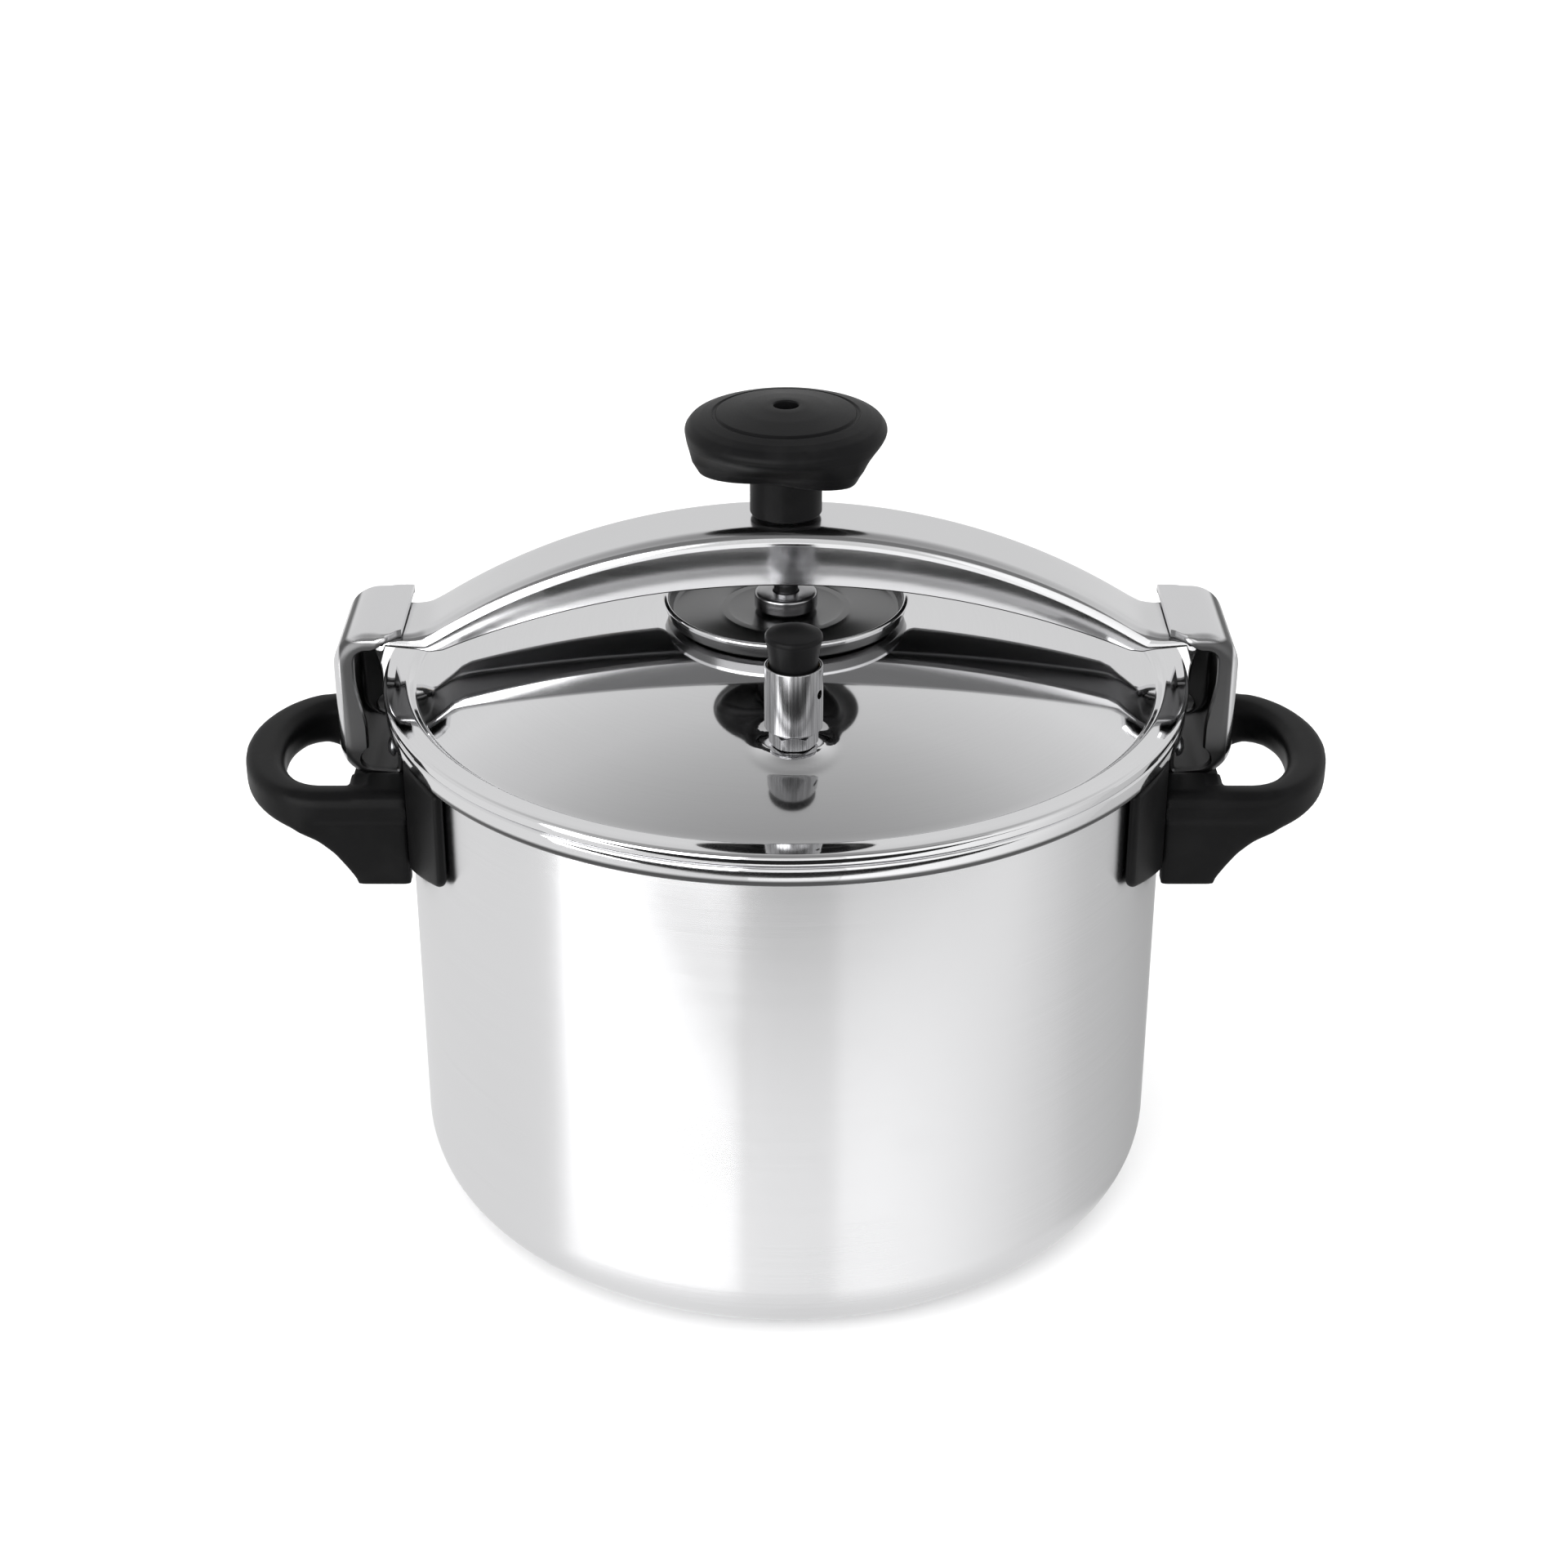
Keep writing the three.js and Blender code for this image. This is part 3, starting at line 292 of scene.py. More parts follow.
def hook_hollow_painted_shade(finish):
    """The hollow of the hook bracket behind the end of the bridge: rougher, and darkened with painted shade."""
    x, _, z = finish.axes()
    x = x.sum("ABSOLUTE", x)
    within = (HOLLOW_OUT * MM - x).step(0, 0.0007) * (z - HOLLOW_LOW * MM).step(0, 0.001)
    return within * (HOLLOW_HIGH * MM - z).step(0, 0.001)


def cup_dish_painted_shade(finish):
    """The dish below the rim, which is rougher than the polished rim and darkened with painted shade."""
    return (span("pressure_cup")[1].z * MM - 0.0011 - finish.axes()[2]).step(0, 0.0005)


def rim_roll(finish):
    """The rolled rim, which is polished where the wall is brushed."""
    return (finish.axes()[2] - ROLL_LOW * MM).step(0, 0.0008)


def rim_corner_painted_shade(finish):
    """Painted shade: the dark line in the corner between the wall and the rolled rim, where the roll shades the wall.
    """
    z = finish.axes()[2]
    return (z - SHADE_LOW * MM).step(0, 0.0006) * (SHADE_HIGH * MM - z).step(0, 0.001)


STEEL = (0.82, 0.82, 0.83)
FINISHES = {
    "pot_metal": metal(
        "brushed_pot_steel", (0.86, 0.86, 0.87), 0.25, around(4200, 0.9), 0.05, 0.03, 0.02, 0.965,
        # the rim corner mask paints shade into the wall's colour under the rolled rim
        parts=[(rim_roll, -0.19, 0.97), (rim_corner_painted_shade, 0.05, 0.12)],
        Anisotropic=0.93, Anisotropic_Rotation=0.25,
    ),
    "base_metal": metal("machined_base_aluminium", (0.76, 0.76, 0.77), 0.3, around(1500, 0.8)),
    "lid_mirror": metal(
        "polished_lid_steel", (0.84, 0.84, 0.85), 0.05, around(2600, 2.2), 0.02, 0.008, 0.03, 0.985
    ),
    "bridge_metal": metal(
        "polished_bridge_steel", STEEL, 0.10, along(26, 1300, 500), 0.05, 0.03, 0.04, 0.97,
        # the hollow of the bridge gets painted shade in its colour, besides more roughness
        parts=[(upward, 0.07, 0.97), (bridge_hollow_painted_shade, 0.3, 0.22)],
    ),
    "hook_metal": metal(
        "polished_hook_steel", STEEL, 0.13, along(420, 30, 420), 0.05, 0.02, 0.04, 0.98,
        # the hollow of the hook gets painted shade in its colour, besides more roughness
        parts=[(upward, 0.16, 0.97), (hook_hollow_painted_shade, 0.2, 0.14)],
    ),
    "cup_metal": metal(
        "spun_cup_steel", STEEL, 0.08, around(2200), 0.04, 0.02, 0.04, 0.97,
        # the cup's dish gets painted shade in its colour, besides more roughness
        parts=[(cup_dish_painted_shade, 0.14, 0.2)],
    ),
    "valve_metal": metal(
        "drawn_valve_steel", (0.46, 0.46, 0.47), 0.18, along(2200, 2200, 40), 0.1, 0.02, 0.08, 0.5
    ),
    "turned_steel": metal(
        "turned_spindle_steel", (0.45, 0.45, 0.46), 0.24, around(2400), 0.08, 0.05
    ),
    "fastener_steel": metal(
        "plated_fastener_steel", (0.66, 0.67, 0.69), 0.3, along(500, 500, 500), 0.1, 0.06
    ),
    "brass": metal(
        "turned_brass", (0.72, 0.52, 0.26), 0.26, along(700, 700, 700), 0.1, 0.05, 0.08, 0.88
    ),
    "black_rubber": moulded("black_seal_rubber", (0.012, 0.012, 0.012), 0.62, 3200, 0.1),
    "handle_black": moulded(
        "black_handle_plastic", (0.0035, 0.0035, 0.0037), 0.40, 2600, 0.10, 0.002
    ),
    "knob_black": moulded("black_knob_plastic", (0.004, 0.004, 0.0043), 0.40, 2400, 0.14, 0.003),
    "valve_black": moulded("black_cap_plastic", (0.004, 0.004, 0.0043), 0.34, 3000, 0.1, 0.003),
}

SLOT_OF = {
    "pot_metal": ["pot_shell"],
    "base_metal": ["base_disc"],
    "lid_mirror": ["lid_shell"],
    "bridge_metal": ["bridge"],
    "hook_metal": ["hook_bracket"],
    "cup_metal": ["pressure_cup"],
    "valve_metal": ["valve_nozzle", "valve_sleeve"],
    "turned_steel": ["spindle", "cup_nut"],
    "fastener_steel": [
        "hook_rivet_front", "hook_rivet_rear", "handle_boss", "handle_screw", "valve_nut", "safety_nut",
        "knob_screw", "bridge_bush", "valve_needle", "safety_pin", "valve_spring", "safety_spring",
    ],
    "brass": ["safety_body", "valve_bush", "thrust_washer", "knob_insert"],
    "black_rubber": ["lid_gasket", "valve_washer", "safety_washer"],
    "handle_black": ["handle", "handle_saddle"],
    "knob_black": ["knob"],
    "valve_black": ["valve_cap"],
}


def slot_of(node):
    plain = node.removesuffix("_right").removesuffix("_left")
    return next(slot for slot, nodes in SLOT_OF.items() if plain in nodes)


for cad_name, cad_node in frame["nodes"].items():
    cad_node.data.materials.clear()
    cad_node.data.materials.append(FINISHES[slot_of(cad_name)])


# ---- Mesh helpers ---------------------------------------------------------
def filleted(points, steps=6, closed=True):
    """Corners (a, b) or (a, b, radius) as a line of points, with an arc at each radius."""
    line = []
    count = len(points)
    for i, point in enumerate(points):
        here = Vector(point[:2])
        radius = point[2] if len(point) > 2 else 0
        if not radius or (not closed and i in (0, count - 1)):
            line.append(tuple(here))
            continue
        back = Vector(points[i - 1][:2]) - here
        on = Vector(points[(i + 1) % count][:2]) - here
        half = back.angle(on) / 2
        if half > 1.565:
            line += [tuple(here)] * (steps + 1)
            continue
        reach = min(radius / math.tan(half), 0.49 * back.length, 0.49 * on.length)
        back.normalize()
        on.normalize()
        centre = here + (back + on).normalized() * reach / math.cos(half)
        first, last = here + back * reach - centre, here + on * reach - centre
        sweep = first.angle_signed(last)
        for k in range(steps + 1):
            spoke = first.copy()
            spoke.rotate(Matrix.Rotation(-sweep * k / steps, 2))
            line.append(tuple(centre + spoke))
    return line


def arc(centre, radius, start, end, steps):
    angles = np.radians(np.linspace(start, end, steps + 1))
    return [(centre[0] + radius * math.cos(a), centre[1] + radius * math.sin(a)) for a in angles]


def turned(profile, segments=128, place=(0, 0), bend=None):
    """A closed profile of (radius, height) carried round an upright axis."""
    rows = len(profile)
    points = []
    for i in range(segments):
        angle = 2 * math.pi * i / segments
        for r, z in profile:
            points.append((place[0] + r * math.cos(angle), place[1] + r * math.sin(angle), z))
    if bend:
        points = [bend(*point) for point in points]
    faces = []
    for i in range(segments):
        here, there = i * rows, (i + 1) % segments * rows
        for k in range(rows):
            on = (k + 1) % rows
            if profile[k][0] < 1e-6 and profile[on][0] < 1e-6:
                continue
            faces.append((here + k, here + on, there + on, there + k))
    return points, faces


def skinned(sections):
    """Closed sections of equal length, joined one to the next, with capped ends."""
    rows = len(sections[0])
    points = [point for section in sections for point in section]
    faces = []
    for i in range(len(sections) - 1):
        here, there = i * rows, (i + 1) * rows
        for k in range(rows):
            on = (k + 1) % rows
            faces.append((here + k, here + on, there + on, there + k))
    faces.append(tuple(range(rows)))
    faces.append(tuple(range(len(points) - rows, len(points))))
    return points, faces


def joined(*meshes):
    points, faces = [], []
    for more, these in meshes:
        faces += [tuple(k + len(points) for k in face) for face in these]
        points += list(more)
    return points, faces


def mesh_of(name, points, faces):
    mesh = bpy.data.meshes.new(name)
    mesh.from_pydata([Vector(point) * MM for point in points], [], faces)
    return tidy(mesh)


CREASE = math.radians(38)


def tidy(mesh):
    """Doubles merged, faces outward, smooth with sharp creases."""
    shape = bmesh.new()
    shape.from_mesh(mesh)
    bmesh.ops.remove_doubles(shape, verts=shape.verts, dist=2e-7)
    bmesh.ops.dissolve_degenerate(shape, edges=shape.edges, dist=1e-7)
    bmesh.ops.recalc_face_normals(shape, faces=shape.faces)
    shape.to_mesh(mesh)
    shape.free()
    mesh.polygons.foreach_set("use_smooth", [True] * len(mesh.polygons))
    mesh.set_sharp_from_angle(angle=CREASE)
    return mesh


def show(name, mesh, node):
    """A new piece that stands for a CAD node, on its body and with its finish."""
    piece = bpy.data.objects.new(name, mesh)
    bpy.context.scene.collection.objects.link(piece)
    mesh.materials.clear()
    mesh.materials.append(FINISHES[slot_of(node)])
    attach(piece, frame["nodes"][node]["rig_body"])
    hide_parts(node)


def make(name, shape, node):
    show(name, mesh_of(name, *shape), node)


def flipped(mesh, name):
    """The same piece for the other side."""
    copy = mesh.copy()
    copy.name = name
    places = np.zeros(len(copy.vertices) * 3)
    copy.vertices.foreach_get("co", places)
    places[0::3] *= -1
    copy.vertices.foreach_set("co", places)
    copy.flip_normals()
    return copy


def pair(name, mesh, node):
    left = flipped(mesh, name + "_left")
    show(name + "_right", mesh, node + "_right")
    show(name + "_left", left, node + "_left")


def worked(shape, *changes):
    """A mesh from points and faces, after modifiers given as (kind, settings)."""
    mesh = shape if isinstance(shape, bpy.types.Mesh) else mesh_of("blank", *shape)
    blank = bpy.data.objects.new("blank", mesh)
    bpy.context.scene.collection.objects.link(blank)
    for kind, settings in changes:
        change = blank.modifiers.new(kind, kind)
        for key, value in settings.items():
            setattr(change, key, value)
    bpy.context.view_layer.update()
    graph = bpy.context.evaluated_depsgraph_get()
    made = bpy.data.meshes.new_from_object(blank.evaluated_get(graph))
    bpy.data.objects.remove(blank)
    return made


def cut(shape, *tools, operation="DIFFERENCE"):
    """A shape less its tools, or joined to them, all given as points and faces."""
    cutters = []
    for tool in tools:
        cutter = bpy.data.objects.new("cutter", mesh_of("cutter", *tool))
        bpy.context.scene.collection.objects.link(cutter)
        cutters.append(cutter)
    changes = [
        ("BOOLEAN", {"operation": operation, "object": cutter, "solver": "EXACT"})
        for cutter in cutters
    ]
    made = worked(shape, *changes)
    for cutter in cutters:
        bpy.data.objects.remove(cutter)
    return tidy(made)


def upright(radius, low, high, place=(0, 0), segments=48, edge=0.0):
    profile = [(0, low), (radius, low, edge), (radius, high, edge), (0, high)]
    return turned(filleted(profile, 3), segments, place)


def bar_x(radius, low, high, z, segments):
    """A round bar along X at that height."""
    points, faces = upright(radius, low, high, (0, 0), segments)
    return [(height, a, z + b) for a, b, height in points], faces


def hexagon(across, low, high, place, chamfer=0.8):
    """A hexagon of that half size across its corners, with its corners turned off."""
    prism = turned([(0, low), (across, low), (across, high), (0, high)], 6, place)
    slope = chamfer * 0.55
    lathe = [(0, low), (across - chamfer, low), (across, low + slope)]
    lathe += [(across, high - slope), (across - chamfer, high), (0, high)]
    return cut(prism, turned(lathe, 64, place), operation="INTERSECT")


# ---- Pot ------------------------------------------------------------------
CORNER = (POT_RADIUS - POT_CORNER, CORNER_RISE)


def corner(low, high, radius, steps):
    """The rounded corner of the pot between two heights."""
    angles = [math.degrees(math.asin((z - CORNER_RISE) / radius)) for z in (low, high)]
    return arc(CORNER, radius, *angles, steps)


def pot_wall():
    inside = POT_RADIUS - POT_WALL
    roll = POT_TOP - 6.8
    profile = [(0, POT_FLOOR)] + corner(POT_FLOOR, CORNER_RISE, POT_CORNER, 20)
    profile += [(POT_RADIUS, z) for z in np.linspace(CORNER_RISE, roll - 2, 12)[1:]]
    rim = [
        (POT_RADIUS, roll - 2),
        (POT_RADIUS, roll + 0.3, 0.9),
        (RIM_RADIUS - 0.3, roll + 0.9, 1.6),
        (RIM_RADIUS, roll + 4.8),
        (RIM_RADIUS - 0.2, POT_TOP, 2),
        (inside, POT_TOP, 0.9),
        (inside, POT_TOP - 4),
    ]
    profile += filleted(rim, 7, closed=False)[1:-1]
    floor = POT_FLOOR + POT_WALL
    profile += [(inside, z) for z in np.linspace(POT_TOP - 3, CORNER_RISE, 10)]
    profile += corner(CORNER_RISE, floor, POT_CORNER - POT_WALL, 16)[1:] + [(0, floor)]
    make("pot_wall", turned(profile, 224), "pot_shell")


def heat_base():
    """The heat-spreading disc, which carries on the corner, with rings turned underneath."""
    rings = []
    for r in np.arange(82, 12, -11):
        rings += [(r + 1.2, 0.0, 0.3), (r + 0.6, 0.45, 0.3)]
        rings += [(r - 0.6, 0.45, 0.3), (r - 1.2, 0.0, 0.3)]
    profile = [(0, BASE_THICK)] + corner(BASE_THICK, 0, POT_CORNER, 8) + rings + [(0, 0)]
    make("heat_base", turned(filleted(profile, 3), 192), "base_disc")


# ---- Lid ------------------------------------------------------------------
VALVES = ((VALVE, VALVE_SEAT), (SAFETY, SAFETY_SEAT))


def pressed(x, y, z):
    """The dome pressed flat at the seat height under each valve."""
    r = math.hypot(x, y)
    if r > DOME_RADIUS or z < dome_height(min(r, DOME_RADIUS)) - LID_SHEET - 0.5:
        return x, y, z
    upper = z > dome_height(max(r, LAND_RADIUS)) - 0.5 * LID_SHEET
    for place, seat in VALVES:
        d = math.dist((x, y), place)
        level = seat if upper else seat - 4.6
        z += (level - z) * (1 - ease(d, 6.8, 12.8))
    return x, y, z


def lid_dome():
    bead = POT_TOP + 3.8
    rest = POT_TOP + 0.5
    radii = [0, 12, 24, 33, LAND_RADIUS - 1.2, LAND_RADIUS, LAND_RADIUS + 1.2]
    radii += list(np.arange(40, DOME_RADIUS, 1.0))
    top = [(r, LAND if r <= LAND_RADIUS else dome_height(r)) for r in radii]
    edge = [
        (DOME_RADIUS - 1, dome_height(DOME_RADIUS - 1)),
        (DOME_RADIUS + 1.2, DOME_EDGE - 0.4, 0.8),
        (DOME_RADIUS + 3.2, bead, 1.8),
        (LID_RADIUS, bead - 0.2, 1.3),
        (LID_RADIUS, rest, 0.5),
        (LID_RADIUS - 1.9, rest, 0.4),
        (LID_RADIUS - 2, bead - 1.5, 1),
        (DOME_RADIUS + 3, bead - 1.5, 1),
        (DOME_RADIUS + 1.4, DOME_EDGE - LID_SHEET, 0.6),
        (DOME_RADIUS - 1, dome_height(DOME_RADIUS - 1) - LID_SHEET),
    ]
    under = [(r, z - LID_SHEET) for r, z in top]
    profile = top + filleted(edge, 6, closed=False) + under[::-1]
    make("lid_dome", turned(profile, 360, bend=pressed), "lid_shell")


def lid_seal():
    low, high = span("lid_gasket")[0].z, span("lid_gasket")[1].z
    outer = LID_RADIUS - 2.2
    inner = DOME_RADIUS + 3
    profile = [(inner, low, 0.3), (outer, low, 0.5), (outer, high, 0.5), (inner + 0.8, high, 0.4)]
    make("lid_seal", turned(filleted(profile, 3), 160), "lid_gasket")


# ---- Bridge ---------------------------------------------------------------
def bridge_crown(x):
    """Height of the top of the bridge: an arch that eases into flat ends."""
    x = abs(x)
    if x < ARCH_END:
        return BRIDGE_TOP - ARCH_RADIUS + math.sqrt(ARCH_RADIUS**2 - x**2)
    t = min((x - ARCH_END) / ARCH_EASE, 1)
    fall = math.sqrt(ARCH_RADIUS**2 - ARCH_END**2)
    start = BRIDGE_TOP - ARCH_RADIUS + fall
    slope = -ARCH_END / fall * ARCH_EASE
    level = (2 * t**3 - 3 * t**2 + 1) * start + (t**3 - 2 * t**2 + t) * slope
    level += (3 * t**2 - 2 * t**3) * BRIDGE_END
    past = max(x - BRIDGE_HALF + END_ROUND, 0)
    return level - (END_ROUND - math.sqrt(max(END_ROUND**2 - past**2, 0)))


def bridge_skirt(x):
    """Height of the lower edge of its flanges, with a tooth near each end."""
    x = abs(x)
    if x < SKIRT_END:
        return BRIDGE_TOP - SKIRT_DROP - SKIRT_RADIUS + math.sqrt(SKIRT_RADIUS**2 - x * x)
    low = BRIDGE_END - 3.2
    places = [SKIRT_END, 101.5, 105.5, 114, 115.6, 117.2, BRIDGE_HALF]
    heights = [171.92, 171.5, low - 0.9, low, low - 5.6, low, low - 0.6]
    return float(np.interp(x, places, heights))


def channel_section(wide, crown, skirt, sheet, bend):
    """Half widths and heights of a pressed channel, once round its outline."""
    depth = crown - skirt
    outer = min(bend, 0.8 * depth)
    inner = max(outer - sheet, 0.25)
    level = max(crown - sheet, skirt + 0.45)
    inside = wide - sheet
    right = [(inside, skirt + 0.4), (inside + 0.4, skirt), (wide - 0.5, skirt)]
    right += [(wide, skirt + 0.5)]
    right += arc((wide - outer, crown - outer), outer, 0, 90, 8)
    inner = min(inner, 0.9 * max(level - skirt - 0.4, 0.1))
    hollow = arc((inside - inner, level - inner), inner, 90, 0, 5)
    tops = [(wide * k, crown) for k in (0.45, 0.15, -0.15, -0.45)]
    left = [(-a, b) for a, b in right[::-1]]
    under = [(-a, b) for a, b in hollow[::-1]] + hollow
    return right + tops + left + under


def bridge_pressing():
    teeth = [113.99, 114.8, 115.6, 116.4, 117.21]
    half = list(np.linspace(0, 96, 49)) + list(np.arange(97, 113.5, 0.75)) + teeth
    half += [118.5, 119.4, 120, 120.6, 121, 121.3, 121.55, 121.7, BRIDGE_HALF]
    places = [-x for x in half[:0:-1]] + half
    sections = []
    for x in places:
        bevel = max(abs(x) - BRIDGE_HALF + END_BEVEL, 0)
        wide = BRIDGE_WIDE - (END_BEVEL - math.sqrt(max(END_BEVEL**2 - bevel**2, 0)))
        heights = bridge_crown(x), bridge_skirt(x)
        section = channel_section(wide, *heights, BRIDGE_SHEET, BRIDGE_BEND)
        sections.append([(x, y, z) for y, z in section])
    hole = upright(8, BRIDGE_TOP - 10, BRIDGE_TOP + 6, segments=64)
    show("bridge_pressing", cut(skinned(sections), hole), "bridge")


def bridge_collar():
    under = BRIDGE_TOP - BRIDGE_SHEET - 0.6
    bore, top = 5.2, BRIDGE_TOP + 0.3
    low, flange = BRIDGE_TOP - 12, under - 2.8
    profile = [(bore, low, 0.4), (8.4, low, 0.8), (8.4, flange, 0.4), (10.4, flange, 0.5)]
    profile += [(10.4, under, 0.5), (7.7, under), (7.7, top, 0.25), (bore, top, 0.25)]
    make("bridge_collar", turned(filleted(profile, 4), 72), "bridge_bush")


# ---- Hooks ----------------------------------------------------------------
def hook_pressing():
    """One bent strip: a lip over the bridge, a back, a floor and a leg on the wall."""
    right, high, low = HOOK_OUTER - HOOK_BEND, HOOK_TOP - HOOK_BEND, HOOK_FLOOR + HOOK_BEND
    wall = POT_RADIUS + 0.3
    frames = []

    def station(x, z, inward, depth, wrap=0.0, front=HOOK_WIDE):
        frames.append((x, z, inward, depth, wrap, front))

    for k in range(7):
        share = k / 6
        front = HOOK_WIDE - 5 * (1 - ease(share, 0, 0.75)) ** 1.5
        station(HOOK_LIP + share * 8.5, HOOK_TOP, (0, -1), 0.2 + 2.2 * ease(share, 0.5), 0, front)
    for x, z in arc((right, high), HOOK_BEND, 88, 2, 12):
        toward = (right - x, high - z)
        station(x, z, toward, 2.4 + 1.2 * ease(high + HOOK_BEND - z, 0, 9))
    for z in np.linspace(high - 0.5, low + 0.5, 14):
        station(HOOK_OUTER, z, (-1, 0), 3.6 + 2.6 * ease(high - z, 3, 20))
    for x, z in arc((right, low), HOOK_BEND, -2, -88, 12):
        toward = (right - x, low - z)
        wrap = 0.5 * ease(right + HOOK_BEND - x, 0, 9)
        station(x, z, toward, 6.2 - 5.6 * ease(low - z, 2, 9.6), wrap)
    station(wall + 5.5, HOOK_FLOOR, (0, 1), 0.3, 0.8)
    centre = (wall + FOOT_BEND, HOOK_FLOOR + FOOT_BEND)
    for x, z in arc(centre, FOOT_BEND, -90, -180, 5):
        station(x, z, (centre[0] - x, centre[1] - z), 0.1, 1)
    top = HOOK_FLOOR + 15.9
    for z in np.linspace(HOOK_FLOOR + 5, top, 6):
        station(wall, z, (1, 0), 0.1, 1)
    sections = []
    for x, z, inward, depth, wrap, front in frames:
        line = Vector(inward).normalized()
        section = channel_section(HOOK_WIDE, 0, -HOOK_SHEET - depth, HOOK_SHEET, 2.8 + 0.2 * depth)
        ring = []
        for y, drop in section:
            y = max(y, -front)
            slip = wrap * (math.sqrt(POT_RADIUS**2 - y * y) - POT_RADIUS)
            ring.append((x - line.x * drop + slip, y, z - line.y * drop))
        sections.append(ring)
    pair("hook_pressing", mesh_of("hook_pressing_right", *skinned(sections)), "hook_bracket")


def rivet(y, node, name):
    outside = POT_RADIUS + 2.75
    height = HOOK_FLOOR + 8.2
    inside = math.sqrt((POT_RADIUS - POT_WALL) ** 2 - 18**2) - 0.3
    head = [(0, outside + 1.7), (1.4, outside + 1.6), (2.5, outside + 1.1)]
    head += [(3.2, outside + 0.2, 0.3), (3.1, outside - 0.3), (2, outside - 0.3), (2, inside, 0.2), (3.2, inside, 0.3)]
    head += [(3.2, inside - 1.4, 0.5), (0, inside - 1.4)]
    points, faces = turned(filleted(head, 4), 40)
    mesh = mesh_of(name + "_right", [(h, y + a, height + b) for a, b, h in points], faces)
    pair(name, mesh, node)


# ---- Handles --------------------------------------------------------------
def handle_floor(x):
    """Height of the underside of the handle, which sweeps up from its root."""
    root, top = HOLE_START - 2.2, HANDLE_TOP
    places = [100, root, root + 3, root + 6.5, 134, 138, 143, 150, 155, 158, 160]
    heights = [HANDLE_BOTTOM, HANDLE_BOTTOM, HANDLE_BOTTOM + 4.6, HANDLE_BOTTOM + 9.2]
    heights += [top - 16.4, top - 13.6, top - 11.9, top - 10.8, top - 10.1, top - 9, top - 6.5]
    return float(np.interp(x, places, heights))


def loop_section(inner, outer):
    """Section of the loop between two plan points: a rolled top over a plain side."""
    (ax, ay), (bx, by) = inner, outer
    wide = math.dist(inner, outer)
    low_in, low_out = handle_floor(ax), handle_floor(bx)
    deep = HANDLE_TOP - low_out
    tuck = SIDE_TUCK * ease(deep, 13, 17)
    roll = min(HANDLE_ROLL, 0.47 * deep, 0.47 * wide)
    outline = [
        (0, low_in, min(3, 0.3 * deep)),
        (0, HANDLE_TOP, min(5.2, 0.45 * deep)),
        (wide, HANDLE_TOP, roll),
        (wide, HANDLE_TOP - LINE_TOP, 1.4),
        (wide - tuck, HANDLE_TOP - LINE_BOTTOM, 0.7),
        (wide - tuck, low_out, min(3.4, 0.3 * deep)),
    ]
    if deep < 13:
        outline[3] = (wide, HANDLE_TOP - 0.55 * deep, 0.4)
        outline[4] = (wide, HANDLE_TOP - 0.6 * deep, 0.4)
    section = []
    for across, height in filleted(outline, 6):
        share = across / wide
        section.append((ax + (bx - ax) * share, ay + (by - ay) * share, height))
    return section


def handle_moulding():
    sections = []
    for x in np.linspace(118, HANDLE_CENTRE - 1, 12):
        sections.append(loop_section((x, -HOLE_WIDE), (x, -HANDLE_WIDE)))
    for angle in np.radians(np.linspace(-90, 90, 61)):
        c, s = math.cos(angle), math.sin(angle)
        inner = (HANDLE_CENTRE + (HOLE_END - HANDLE_CENTRE) * c, HOLE_WIDE * s)
        outer = (HANDLE_CENTRE + (HANDLE_END - HANDLE_CENTRE) * c, HANDLE_WIDE * s)
        sections.append(loop_section(inner, outer))
    for x in np.linspace(HANDLE_CENTRE - 1, 118, 12):
        sections.append(loop_section((x, HOLE_WIDE), (x, HANDLE_WIDE)))
    loop = skinned(sections)
    side = HANDLE_WIDE - SIDE_TUCK
    plan = [(ROOT_START, -side), (123.5, -side, 2), (HOLE_START, -HOLE_WIDE + 1.5, 1)]
    plan += [(HOLE_START, HOLE_WIDE - 1.5, 1), (123.5, side, 2), (ROOT_START, side)]
    outline = filleted(plan, 5)
    root = skinned([[(x, y, z) for x, y in outline] for z in (HANDLE_BOTTOM, HANDLE_TOP - 0.6)])
    shoulder = [(20, HANDLE_TOP - 9), (20, HANDLE_TOP, 1), (HANDLE_WIDE, HANDLE_TOP, HANDLE_ROLL)]
    shoulder += [(HANDLE_WIDE, HANDLE_TOP - LINE_TOP, 1.4), (side, HANDLE_TOP - LINE_BOTTOM, 0.6)]
    brow = [[(x, y, z) for y, z in filleted(shoulder, 5)] for x in (ROOT_START, 120)]
    far = [[(x, -y, z) for x, y, z in section] for section in brow]
    blank = joined(loop, root, skinned(brow), skinned(far))
    whole = worked(blank, ("REMESH", {"mode": "VOXEL", "voxel_size": 0.8 * MM}))
    start, end = 100, HOLE_START + 4
    seat_plan = [(start, -SEAT_HALF), (end, -SEAT_HALF), (end, SEAT_HALF), (start, SEAT_HALF)]
    seat = skinned([[(x, y, z) for x, y in seat_plan] for z in (HOOK_FLOOR - 0.8, HANDLE_TOP + 6)])
    back = upright(POT_RADIUS + 1.8, HANDLE_BOTTOM - 9, HANDLE_TOP + 9, segments=200)
    screw = bar_x(4.7, HOLE_START - 3, HANDLE_END + 5, SCREW_HEIGHT, 40)
    boss = bar_x(BOSS_RADIUS, start, 119.8, SCREW_HEIGHT, 40)
    soft = worked(whole, ("SMOOTH", {"factor": 0.5, "iterations": 5}))
    mesh = cut(soft, back, seat, screw, boss)
    mesh.name = "handle_moulding_right"
    pair("handle_moulding", mesh, "handle")


